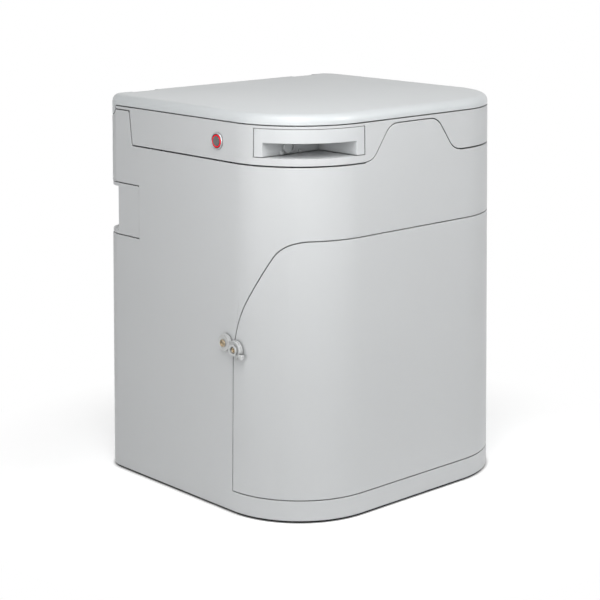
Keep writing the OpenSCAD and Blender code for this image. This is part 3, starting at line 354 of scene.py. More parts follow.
@dataclass(frozen=True)
class Finish:
    """What every finish shares: a name, a colour and a way to its material."""

    name: str
    colour: Colour
    roughness: float = 0.42

    def material(self) -> bpy.types.Material:
        """Gives the finish's material, made at its first use.

        Returns:
            The material.
        """
        found = bpy.data.materials.get(self.name)
        if found:
            return found
        made = bpy.data.materials.new(self.name)
        made.diffuse_color = (*self.colour, 1.0)
        tree = Tree.of(made)
        vector = tree.add("ShaderNodeTexCoord").outputs["Object"]
        shader = tree.add("ShaderNodeBsdfPrincipled")
        tree.add("ShaderNodeOutputMaterial", {"Surface": shader.outputs[0]})
        self.fill(tree, vector, shader)
        return made

    def fill(self, tree: Tree, vector: bpy.types.NodeSocket, shader: bpy.types.Node) -> None:
        """Wires the finish's pattern into the shader; each kind of finish has its own."""
        raise NotImplementedError

    @staticmethod
    def set_even(shader: bpy.types.Node, **values: float) -> None:
        """Sets what is the same all over the surface on the shader's own sockets.

        Args:
            shader: the shader.
            values: values by the sockets' names, with _ for a space.
        """
        for name, value in values.items():
            shader.inputs[name.replace("_", " ")].default_value = value


@dataclass(frozen=True)
class MouldedPlastic(Finish):
    """Moulded plastic with a fine grain, a slight drift of tone, painted shade in its seams and inner corners, and
    rubbed edges.
    """

    pitch: float = 900.0
    depth: float = 0.012
    drift: float = 0.03
    painted_shade: float = 0.6
    reach: float = 0.004
    gloss: float = 0.5
    wear: float = 0.0
    wear_colour: Colour = (0.75, 0.75, 0.74)
    coat: float = 0.0
    clear: float = 0.0
    milky: float = 0.0
    glow: float = 0.0
    bend_of_light: float = 1.5
    coat_roughness: float = 0.18
    milk_reach: float = 0.004

    def fill(self, tree: Tree, vector: bpy.types.NodeSocket, shader: bpy.types.Node) -> None:
        """Wires grain, drift, painted seam shade and wear into the shader.

        Args:
            tree: the material's tree.
            vector: the place on the piece, in metres.
            shader: the shader.
        """
        # painted shade: ambient occlusion darkens the colour in seams, gaps, inner corners and round raised parts
        shade = tree.place(Effects.seam_shade(), {"Amount": self.painted_shade, "Reach": self.reach})
        drift = tree.place(
            Effects.tone_drift(),
            {
                "Vector": vector,
                "Colour": (*self.colour, 1.0),
                "Roughness": self.roughness,
                "Amount": self.drift,
                "Shade": shade.outputs["Shade"],
            },
        )
        grain = tree.place(Effects.mould_grain(), {"Vector": vector, "Pitch": self.pitch, "Depth": self.depth * MM})
        bump = tree.first("ShaderNodeBump", {"Height": grain.outputs["Height"], "Distance": 1.0, "Strength": 1.0})
        colour = drift.outputs["Colour"]
        if self.wear > 0.0:
            wear = tree.place(Effects.edge_wear(), {"Vector": vector, "Amount": self.wear})
            mixed = tree.add(
                "ShaderNodeMix", {0: wear.outputs["Mask"], 6: colour, 7: (*self.wear_colour, 1.0)}, data_type="RGBA"
            )
            colour = mixed.outputs[2]
        tree.link(colour, shader.inputs["Base Color"])
        tree.link(drift.outputs["Roughness"], shader.inputs["Roughness"])
        tree.link(bump, shader.inputs["Normal"])
        self.set_even(
            shader,
            IOR=self.bend_of_light,
            Specular_IOR_Level=self.gloss,
            Coat_Weight=self.coat,
            Coat_Roughness=self.coat_roughness,
            Transmission_Weight=self.clear,
            Subsurface_Weight=self.milky,
            Subsurface_Scale=self.milk_reach,
        )
        if self.glow > 0.0:
            tree.link(colour, shader.inputs["Emission Color"])
            self.set_even(shader, Emission_Strength=self.glow)


@dataclass(frozen=True)
class BrushedMetal(Finish):
    """Metal with fine drawn lines and faint scuffs."""

    stretch: Triple = (60.0, 1800.0, 1800.0)
    cloud: float = 0.12
    cloud_size: float = 60.0

    def fill(self, tree: Tree, vector: bpy.types.NodeSocket, shader: bpy.types.Node) -> None:
        """Wires the drawn lines into the shader.

        Args:
            tree: the material's tree.
            vector: the place on the piece, in metres.
            shader: the shader.
        """
        drift = tree.place(
            Effects.tone_drift(),
            {
                "Vector": vector,
                "Colour": (*self.colour, 1.0),
                "Roughness": self.roughness,
                "Amount": self.cloud,
                "Size": self.cloud_size,
            },
        )
        lines = tree.place(
            Effects.brushing(),
            {"Vector": vector, "Stretch": self.stretch, "Roughness": drift.outputs["Roughness"]},
        )
        bump = tree.first("ShaderNodeBump", {"Height": lines.outputs["Height"], "Distance": 1.0, "Strength": 0.6})
        tree.link(drift.outputs["Colour"], shader.inputs["Base Color"])
        tree.link(lines.outputs["Roughness"], shader.inputs["Roughness"])
        tree.link(bump, shader.inputs["Normal"])
        self.set_even(shader, Metallic=1.0)


@dataclass(frozen=True)
class EtchedBoard(Finish):
    """Circuit board lacquer over etched tracks."""

    track_colour: Colour = (0.09, 0.34, 0.14)
    spread: Triple = (260.0, 0.0, 180.0)
    track_edge: Pair = (0.36, 0.42)
    track_height: float = 0.00004

    def fill(self, tree: Tree, vector: bpy.types.NodeSocket, shader: bpy.types.Node) -> None:
        """Wires a pattern of tracks into the colour and the bump.

        Args:
            tree: the material's tree.
            vector: the place on the piece, in metres.
            shader: the shader.
        """
        flat = tree.first("ShaderNodeVectorMath", {0: vector, 1: self.spread}, operation="MULTIPLY")
        cells = tree.first("ShaderNodeTexVoronoi", {"Vector": flat, "Scale": 1.0}, distance="CHEBYCHEV")
        gap, track = self.track_edge
        edge = tree.first("ShaderNodeMapRange", {0: cells, 1: gap, 2: track, 3: 0.0, 4: 1.0})
        colour = tree.add(
            "ShaderNodeMix", {0: edge, 6: (*self.colour, 1.0), 7: (*self.track_colour, 1.0)}, data_type="RGBA"
        )
        height = tree.calc("MULTIPLY", edge, self.track_height)
        bump = tree.first("ShaderNodeBump", {"Height": height, "Distance": 1.0, "Strength": 1.0})
        tree.link(colour.outputs[2], shader.inputs["Base Color"])
        tree.link(bump, shader.inputs["Normal"])
        self.set_even(shader, Roughness=self.roughness)


class Finishes:
    """The finishes of the toilet, by the slot that each stands for."""

    # painted_shade and reach set how strongly and how far each plastic is darkened by painted shade in its seams and
    # inner corners
    SHELL = MouldedPlastic("satin_grey_shell", (0.600, 0.613, 0.620), 0.40, pitch=1400.0, depth=0.006)
    DOOR = MouldedPlastic("satin_grey_door", (0.600, 0.613, 0.620), 0.40, pitch=1400.0, depth=0.006, painted_shade=0.2)
    LID = MouldedPlastic("satin_white_lid", (0.632, 0.660, 0.670), 0.38, pitch=1400.0, depth=0.004, coat=0.2)
    HANDLE = MouldedPlastic("satin_handle_grey", (0.612, 0.628, 0.637), 0.38, pitch=1400.0, depth=0.005, reach=0.012)
    INNER = MouldedPlastic("inner_panel_grey", (0.52, 0.535, 0.54), 0.5, pitch=700.0, depth=0.02, drift=0.06)
    BOWL = MouldedPlastic("glossy_bowl_white", (0.78, 0.80, 0.80), 0.2, pitch=300.0, depth=0.002, coat=0.4)
    DARK = MouldedPlastic(
        "dark_case_plastic", (0.018, 0.018, 0.02), 0.5, pitch=800.0, depth=0.03, drift=0.2, wear=0.35,
        wear_colour=(0.10, 0.10, 0.105),
    )
    RUBBER = MouldedPlastic(
        "black_seal_rubber", (0.016, 0.016, 0.017), 0.75, pitch=500.0, depth=0.04, drift=0.35, wear=0.3,
        wear_colour=(0.07, 0.07, 0.07),
    )
    BIN = MouldedPlastic(
        "charcoal_bin_plastic", (0.10, 0.105, 0.11), 0.48, pitch=600.0, depth=0.03, drift=0.12, wear=0.3,
        wear_colour=(0.26, 0.265, 0.27),
    )
    BOTTLE = MouldedPlastic(
        "milky_bottle_plastic", (0.80, 0.815, 0.80), 0.34, pitch=260.0, depth=0.02, drift=0.04, clear=0.35, milky=0.2
    )
    BUSH = MouldedPlastic("natural_bush_nylon", (0.76, 0.75, 0.69), 0.4, pitch=900.0, depth=0.01, milky=0.2)
    LATCH = MouldedPlastic(
        "pale_latch_plastic", (0.58, 0.59, 0.59), 0.34, pitch=1500.0, depth=0.004, drift=0.05, painted_shade=0.85, reach=0.007
    )
    RING = MouldedPlastic(
        "red_ring_plastic", (0.95, 0.006, 0.025), 0.35, pitch=400.0, depth=0.002, painted_shade=0.0, gloss=0.1, glow=0.3
    )
    CAP = MouldedPlastic("grey_cap_plastic", (0.115, 0.113, 0.113), 0.42, pitch=1200.0, depth=0.01, drift=0.08)
    STEEL = BrushedMetal("brushed_steel", (0.60, 0.61, 0.62), 0.28)
    RIM_STEEL = BrushedMetal("turned_rim_steel", (0.42, 0.43, 0.44), 0.3, stretch=(1800.0, 60.0, 60.0))
    WIRE_STEEL = BrushedMetal("woven_wire_steel", (0.50, 0.51, 0.52), 0.35, stretch=(400.0, 400.0, 400.0))
    BRASS = BrushedMetal("plated_brass", (0.42, 0.35, 0.25), 0.2, stretch=(300.0, 900.0, 900.0))
    GEARBOX = BrushedMetal("cast_gearbox_metal", (0.20, 0.205, 0.215), 0.5, stretch=(500.0, 500.0, 500.0))
    CIRCUIT = EtchedBoard("green_circuit_board", (0.012, 0.12, 0.045), 0.3)


# ---------------------------------------------------------------- mesh work


def new_piece(name: str, bm: bmesh.types.BMesh, crease: float = 35.0) -> bpy.types.Object:
    """Turns a bmesh into an object at the origin with smooth faces and sharp creases.

    Args:
        name: name of the piece.
        bm: the mesh under construction, which is freed.
        crease: angle in degrees above which an edge stays sharp.

    Returns:
        The new object.
    """
    mesh = bpy.data.meshes.new(name)
    bm.to_mesh(mesh)
    bm.free()
    piece = bpy.data.objects.new(name, mesh)
    bpy.context.scene.collection.objects.link(piece)
    smooth(piece, crease)
    return piece


def smooth(piece: bpy.types.Object, crease: float) -> None:
    """Shades a piece smooth but for edges sharper than the crease angle."""
    piece.data.shade_smooth()
    piece.data.set_sharp_from_angle(angle=math.radians(crease))


def reopened(piece: bpy.types.Object) -> bmesh.types.BMesh:
    """Takes a piece's mesh back for more work and removes the piece.

    Args:
        piece: the object, which is gone afterwards.

    Returns:
        Its mesh, open for work.
    """
    bm = bmesh.new()
    bm.from_mesh(piece.data)
    bpy.data.objects.remove(piece)
    return bm


def face_outwards(bm: bmesh.types.BMesh) -> None:
    """Turns all faces of closed shells outwards."""
    bmesh.ops.recalc_face_normals(bm, faces=bm.faces[:])


def bake_modifiers(piece: bpy.types.Object) -> bpy.types.Object:
    """Puts the evaluated mesh in the piece and removes its modifiers.

    Args:
        piece: an object with live modifiers.

    Returns:
        The same object.
    """
    bpy.context.view_layer.update()
    graph = bpy.context.evaluated_depsgraph_get()
    mesh = bpy.data.meshes.new_from_object(piece.evaluated_get(graph))
    mesh.name = piece.name
    piece.modifiers.clear()
    piece.data = mesh
    return piece


def welded(node: str) -> bmesh.types.BMesh:
    """Copies a CAD node's mesh with its corners merged and its flat facets joined.

    Args:
        node: name of the CAD node.

    Returns:
        The copy, still open for work.
    """
    bm = bmesh.new()
    bm.from_mesh(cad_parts[node].data)
    bmesh.ops.remove_doubles(bm, verts=bm.verts, dist=2e-6)
    bmesh.ops.dissolve_limit(
        bm, angle_limit=math.radians(0.3), verts=bm.verts[:], edges=bm.edges[:], use_dissolve_boundaries=False
    )
    return bm


def mark_edges(bm: bmesh.types.BMesh, sharp: float, spared: tuple[Place, Place] | None = None) -> None:
    """Gives the sharp edges the weight that the bevel reads.

    Args:
        bm: the mesh.
        sharp: angle in degrees above which an edge is sharp.
        spared: lowest and highest corner in mm of a box whose edges stay as they are.
    """
    weights = bm.edges.layers.float.get("bevel_weight_edge") or bm.edges.layers.float.new("bevel_weight_edge")
    low, high = spared or ((0.0,) * 3, (0.0,) * 3)
    for edge in bm.edges:
        middle = (edge.verts[0].co + edge.verts[1].co) / (2 * MM)
        if spared and all(low[axis] < middle[axis] < high[axis] for axis in range(3)):
            continue
        if len(edge.link_faces) == 2 and edge.calc_face_angle(0.0) > math.radians(sharp):
            edge[weights] = 1.0


def round_edges(piece: bpy.types.Object, width: float, segments: int, crease: float = 35.0) -> bpy.types.Object:
    """Rounds a piece's weighted edges and evens its shading.

    Args:
        piece: the object whose mesh carries bevel weights.
        width: size of the rounding in mm.
        segments: steps across the rounding.
        crease: angle in degrees above which an edge stays sharp.

    Returns:
        The same object, with a plain mesh.
    """
    bevel = piece.modifiers.new("rounded edges", "BEVEL")
    bevel.limit_method = "WEIGHT"
    bevel.width = width * MM
    bevel.segments = segments
    bevel.use_clamp_overlap = False
    bevel.miter_outer = "MITER_ARC"
    bake_modifiers(piece)
    smooth(piece, crease)
    even = piece.modifiers.new("even shading", "WEIGHTED_NORMAL")
    even.keep_sharp = True
    return bake_modifiers(piece)


def reach_beyond(piece: bpy.types.Object, node: str) -> float:
    """Measures how far a piece stands outside its CAD node's box.

    Args:
        piece: the piece.
        node: name of the CAD node.

    Returns:
        The distance in mm, 0 where it stays inside.
    """
    low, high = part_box(node)
    most = 0.0
    for vertex in piece.data.vertices:
        for axis in range(3):
            most = max(most, low[axis] - vertex.co[axis], vertex.co[axis] - high[axis])
    return most / MM


def softened(
    node: str, width: float = 0.5, segments: int = 2, sharp: float = 32.0, spared: tuple[Place, Place] | None = None
) -> bpy.types.Object:
    """Copies a CAD node with its edges rounded as a mould rounds them.

    Args:
        node: name of the CAD node.
        width: size of the rounding in mm.
        segments: steps across the rounding.
        sharp: edges sharper than this angle in degrees are rounded.
        spared: lowest and highest corner in mm of a box whose edges stay as they are.

    Returns:
        The new piece.
    """
    label = f"{node}_moulded"
    least = 0.05
    while width > least:
        bm = welded(node)
        mark_edges(bm, sharp, spared)
        piece = round_edges(new_piece(label, bm), width, segments)
        if reach_beyond(piece, node) < least:
            return piece
        LOG.warning("%s: a rounding of %.2f mm leaves its box, halved", node, width)
        bpy.data.objects.remove(piece)
        width /= 2
    return new_piece(label, welded(node))


def filleted(points: list[Point], radius: float, closed: bool = True, steps: int = 4) -> list[Point]:
    """Rounds the corners of a line of points.

    Args:
        points: corners of the line.
        radius: radius of the corners, cut down where a side is short.
        closed: whether the last point joins the first.
        steps: steps round each corner.

    Returns:
        The points of the rounded line.
    """
    made: list[Point] = []
    count = len(points)
    for index, here in enumerate(points):
        if not closed and index in (0, count - 1):
            made.append(here)
            continue
        corner = Vector(here)
        before = Vector(points[index - 1]) - corner
        after = Vector(points[(index + 1) % count]) - corner
        half = before.angle(after, math.pi) / 2
        if half > math.radians(86):
            made.append(here)
            continue
        cut = min(radius / math.tan(half), before.length * 0.48, after.length * 0.48)
        start, end = corner + before.normalized() * cut, corner + after.normalized() * cut
        for step in range(steps + 1):
            t = step / steps
            point = start * (1 - t) ** 2 + corner * 2 * t * (1 - t) + end * t**2
            made.append((point.x, point.y))
    return made


def add_ring(
    bm: bmesh.types.BMesh, middle: Vector, side: Vector, other: Vector, radius: float, steps: int
) -> list[bmesh.types.BMVert]:
    """Adds a circle's corners to a mesh, or one corner where it has no radius.

    Args:
        bm: the mesh under construction.
        middle: centre of the circle in mm.
        side: direction of its first corner.
        other: direction a quarter turn on.
        radius: radius in mm.
        steps: corners round the circle.

    Returns:
        The corners.
    """
    turns = [math.tau * k / steps for k in range(1 if radius < POLE else steps)]
    return [bm.verts.new((middle + (side * math.cos(a) + other * math.sin(a)) * radius) * MM) for a in turns]


def skin(bm: bmesh.types.BMesh, rows: list[list[bmesh.types.BMVert]]) -> None:
    """Joins rows of equal count with faces and closes the first and the last row.

    Args:
        bm: the mesh under construction.
        rows: the rows of corners.
    """
    count = len(rows[0])
    for first, second in zip(rows, rows[1:]):
        for k in range(count):
            j = (k + 1) % count
            bm.faces.new((first[k], first[j], second[j], second[k]))
    bm.faces.new(rows[0])
    bm.faces.new(rows[-1])


def add_lathe(
    bm: bmesh.types.BMesh, profile: list[Point], centre: Place, axis: Place, steps: int = 64, closed: bool = False
) -> None:
    """Adds a turned shape to a mesh.

    Args:
        bm: the mesh under construction.
        profile: (distance along the axis, radius) points in mm; a radius of 0 ends in a pole.
        centre: origin of the axis in mm.
        axis: direction of the axis.
        steps: faces round the axis.
        closed: whether the last profile point joins the first, for a shape with a bore.
    """
    along = Vector(axis).normalized()
    side = along.orthogonal().normalized()
    other = along.cross(side)
    rings = [
        add_ring(bm, Vector(centre) + along * distance, side, other, radius, steps) for distance, radius in profile
    ]
    ends = rings[1:] + rings[:1] if closed else rings[1:]
    for first, second in zip(rings, ends):
        for k in range(steps):
            j = (k + 1) % steps
            corners = [first[k % len(first)], first[j % len(first)], second[j % len(second)], second[k % len(second)]]
            unique = list(dict.fromkeys(corners))
            if len(unique) > 2:
                bm.faces.new(unique)


def turned(
    name: str, profile: list[Point], centre: Place, axis: Place, radius: float = 0.3, closed: bool = False
) -> bpy.types.Object:
    """Makes a turned piece with rounded profile corners.

    Args:
        name: name of the piece.
        profile: (distance along the axis, radius) points in mm.
        centre: origin of the axis in mm.
        axis: direction of the axis.
        radius: rounding of the profile's corners in mm.
        closed: whether the profile is a loop, for a shape with a bore.

    Returns:
        The new piece.
    """
    bm = bmesh.new()
    add_lathe(bm, filleted(profile, radius, closed), centre, axis, closed=closed)
    face_outwards(bm)
    return new_piece(name, bm, 40.0)


def rounded_plan(low: Point, high: Point, radius: float, inset: float, steps: int = 10) -> list[Point]:
    """Gives a rounded rectangle's outline with the same number of points at any inset.

    Args:
        low: lowest corner.
        high: highest corner.
        radius: radius of its corners before the inset.
        inset: distance moved inwards.
        steps: steps round each corner.

    Returns:
        The outline's points, anticlockwise from the middle of the right side's lower corner.
    """
    r = max(radius - inset, 0.5)
    x0, y0, x1, y1 = low[0] + inset + r, low[1] + inset + r, high[0] - inset - r, high[1] - inset - r
    made = []
    for turn, (x, y) in enumerate(((x1, y0), (x1, y1), (x0, y1), (x0, y0))):
        for step in range(steps + 1):
            a = math.radians(-90 + turn * 90 + 90 * step / steps)
            made.append((x + r * math.cos(a), y + r * math.sin(a)))
    return made


def add_tube(bm: bmesh.types.BMesh, path: list[Vector], radius: float, steps: int = 12) -> None:
    """Adds a closed tube along a path.

    Args:
        bm: the mesh under construction.
        path: points of the middle line in mm.
        radius: radius of the tube in mm.
        steps: faces round the tube.
    """
    rows = []
    side = Vector((0.0, 0.0, 1.0))
    for index, point in enumerate(path):
        ahead = path[min(index + 1, len(path) - 1)] - path[max(index - 1, 0)]
        ahead.normalize()
        side = side - ahead * side.dot(ahead)
        if side.length < 1e-4:
            side = ahead.orthogonal()
        side.normalize()
        other = ahead.cross(side)
        rows.append(add_ring(bm, point, side, other, radius, steps))
    skin(bm, rows)


def bent_path(corners: list[Place], radius: float, steps: int = 8) -> list[Vector]:
    """Rounds the corners of a path in space.

    Args:
        corners: corner points in mm.
        radius: length taken off each side of a corner in mm.
        steps: steps round each corner.

    Returns:
        Points of the rounded path.
    """
    made = [Vector(corners[0])]
    for before, here, after in zip(corners, corners[1:], corners[2:]):
        corner = Vector(here)
        start = corner + (Vector(before) - corner).normalized() * radius
        end = corner + (Vector(after) - corner).normalized() * radius
        for step in range(steps + 1):
            t = step / steps
            made.append(start * (1 - t) ** 2 + corner * 2 * t * (1 - t) + end * t**2)
    made.append(Vector(corners[-1]))
    return made


# ---------------------------------------------------------------- repeated pieces


def geometry_tree(name: str, inputs: dict[str, tuple[str, object]]) -> tuple[Tree, bpy.types.Node]:
    """Starts a Geometry Nodes tree with named inputs and one geometry output.

    Args:
        name: name of the tree.
        inputs: kind and value of each input by its name.

    Returns:
        The tree and its input node.
    """
    tree = Tree(bpy.data.node_groups.new(name, "GeometryNodeTree"))
    tree.socket("Geometry", "Geometry")
    for key, (kind, value) in inputs.items():
        tree.socket(key, kind, value=value)
    tree.socket("Geometry", "Geometry", outward=True)
    return tree, tree.add("NodeGroupInput")


def end_tree(tree: Tree, geometry: bpy.types.NodeSocket, finish: Finish) -> None:
    """Ends a tree in real geometry with its material.

    Args:
        tree: the tree.
        geometry: what it has made.
        finish: finish of the piece.
    """
    real = tree.first("GeometryNodeRealizeInstances", {0: geometry})
    merged = tree.first("GeometryNodeMergeByDistance", {"Geometry": real, "Distance": 1e-6})
    dressed = tree.first("GeometryNodeSetMaterial", {"Geometry": merged, "Material": finish.material()})
    tree.add("NodeGroupOutput", {0: dressed})


def grow(
    name: str, tree: Tree, values: dict[str, object], points: list[Place] | None = None, crease: float = 35.0
) -> bpy.types.Object:
    """Runs a Geometry Nodes tree and keeps its result as a plain mesh.

    Args:
        name: name of the piece.
        tree: the tree to run.
        values: input values by name.
        points: positions in mm that the tree starts from.
        crease: angle in degrees above which an edge stays sharp.

    Returns:
        The new piece.
    """
    bm = bmesh.new()
    for point in points or []:
        bm.verts.new(Vector(point) * MM)
    piece = new_piece(name, bm)
    modifier = piece.modifiers.new(name, "NODES")
    modifier.node_group = tree.tree
    for item in tree.tree.interface.items_tree:
        if item.item_type == "SOCKET" and item.in_out == "INPUT" and item.name in values:
            modifier[item.identifier] = values[item.name]
    bake_modifiers(piece)
    smooth(piece, crease)
    return piece


@dataclass
class ScrewHeads:
    """Pan-head screws with a round socket, set on points by one tree."""

    finish: Finish
    radius: float = 3.2
    height: float = 1.6
    corners: int = 40
    steps: tuple[Pair, ...] = ((0.5, 1.0), (0.3, 0.93), (0.2, 0.84), (0.0, 0.62), (-0.55, 0.9))
    tree: Tree | None = None

    def build(self) -> None:
        """Builds the tree of one head and its copies."""
        tree, come = geometry_tree(
            f"screw heads {self.finish.name}",
            {"Radius": ("Float", self.radius * MM), "Height": ("Float", self.height * MM), "Turn": ("Vector", None)},
        )
        radius, height = come.outputs["Radius"], come.outputs["Height"]
        disc = tree.first(
            "GeometryNodeMeshCircle", {"Vertices": self.corners, "Radius": radius}, fill_type="NGON"
        )
        mesh, top = disc, None
        for rise, scale in self.steps:
            inputs = {"Mesh": mesh, "Offset Scale": tree.calc("MULTIPLY", height, rise), "Individual": False}
            if top is not None:
                inputs["Selection"] = top
            step = tree.add("GeometryNodeExtrudeMesh", inputs)
            top = step.outputs["Top"]
            mesh = tree.first(
                "GeometryNodeScaleElements", {"Geometry": step.outputs["Mesh"], "Selection": top, "Scale": scale}
            )
        under = tree.first("GeometryNodeFlipFaces", {0: disc})
        head = tree.join(mesh, under)
        placed = tree.first(
            "GeometryNodeInstanceOnPoints",
            {"Points": come.outputs["Geometry"], "Instance": head, "Rotation": come.outputs["Turn"]},
        )
        end_tree(tree, placed, self.finish)
        self.tree = tree

    def set_on(self, name: str, points: list[Place], turn: Triple, radius: float, height: float) -> bpy.types.Object:
        """Sets heads on points.

        Args:
            name: name of the piece.
            points: undersides of the heads in mm.
            turn: turn of each head in radians, from facing up.
            radius: radius of the head in mm.
            height: height of the head in mm.

        Returns:
            The new piece.
        """
        if self.tree is None:
            self.build()
        return grow(name, self.tree, {"Radius": radius * MM, "Height": height * MM, "Turn": turn}, points)


# ---------------------------------------------------------------- sub-assemblies


@dataclass
class SubAssembly:
    """Pieces that share a body, with ways to dress and place them."""

    body: Body = Body.BASE

    def settle(self, piece: bpy.types.Object, slot: Slot, finish: Finish, *nodes: str) -> bpy.types.Object:
        """Gives a piece its finish, and lets it ride and stand for its CAD nodes.

        Args:
            piece: the finished piece.
            slot: slot of the record; not used.
            finish: finish of the piece.
            nodes: CAD nodes that it replaces.

        Returns:
            The same piece.
        """
        piece.data.materials.clear()
        piece.data.materials.append(finish.material())
        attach(piece, self.body.value)
        if nodes:
            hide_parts(*nodes)
        LOG.info("%s rides on %s in %s", piece.name, self.body.value, finish.name)
        return piece

    def soften(self, node: str, slot: Slot, finish: Finish, width: float, segments: int = 2) -> bpy.types.Object:
        """Replaces a CAD node by its softened copy and returns the copy."""
        return self.settle(softened(node, width, segments), slot, finish, node)

    def refinish(self, node: str, finish: Finish) -> None:
        """Gives a CAD node that stays a better material.

        Args:
            node: name of the CAD node.
            finish: its finish.
        """
        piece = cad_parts[node]
        for slot in piece.material_slots:
            slot.material = finish.material()
        LOG.info("%s keeps its CAD shape in %s", node, finish.name)


@dataclass
class BodyForm:
    """The drafted form that all outer shells share, in mm."""

    width: float = 402.0
    draft: float = 0.0204

    def half_w(self, z: float) -> float:
        """Half width at a height."""
        return self.width / 2 - self.draft * z


@dataclass
class BaseCabinet(SubAssembly):
    """Base shell, its hidden pan, frame and cups, the inner panels and the foot."""

    edge: float = 0.55
    knuckles: tuple[Place, Place] = ((180.0, -90.0, 90.0), (212.0, -55.0, 322.0))

    def build(self) -> None:
        """Builds and dresses the base's fixed shells."""
        shell = softened("base_shell", self.edge, spared=self.knuckles)
        self.settle(shell, Slot.SHELL, Finishes.SHELL, "base_shell")
        self.soften("floor_pan", Slot.SHELL, Finishes.INNER, 0.8)
        self.soften("door_frame", Slot.SHELL, Finishes.INNER, 0.4)
        self.soften("corner_cups", Slot.SHELL, Finishes.SHELL, 0.4)
        self.soften("foot_ring", Slot.RUBBER, Finishes.RUBBER, 0.5)
        self.soften("bay_divider", Slot.SHELL, Finishes.INNER, 0.4)
        self.soften("service_partition", Slot.SHELL, Finishes.INNER, 0.4)
        self.soften("bottle_tray", Slot.SHELL, Finishes.INNER, 1.2)
        self.soften("bin_cradle", Slot.SHELL, Finishes.INNER, 1.2)
        self.soften("rim_pads", Slot.RUBBER, Finishes.RUBBER, 0.3)
        self.refinish("hinge_rod", Finishes.STEEL)
        self.refinish("door_hinge_pins", Finishes.STEEL)
        self.soften("rod_end_cap", Slot.RUBBER, Finishes.RUBBER, 0.5)


@dataclass
class FrontDoor(SubAssembly):
    """The wrap-round door."""

    body: Body = Body.DOOR
    edge: float = 0.55

    def build(self) -> None:
        """Builds the door."""
        self.soften("front_door", Slot.SHELL, Finishes.DOOR, self.edge)


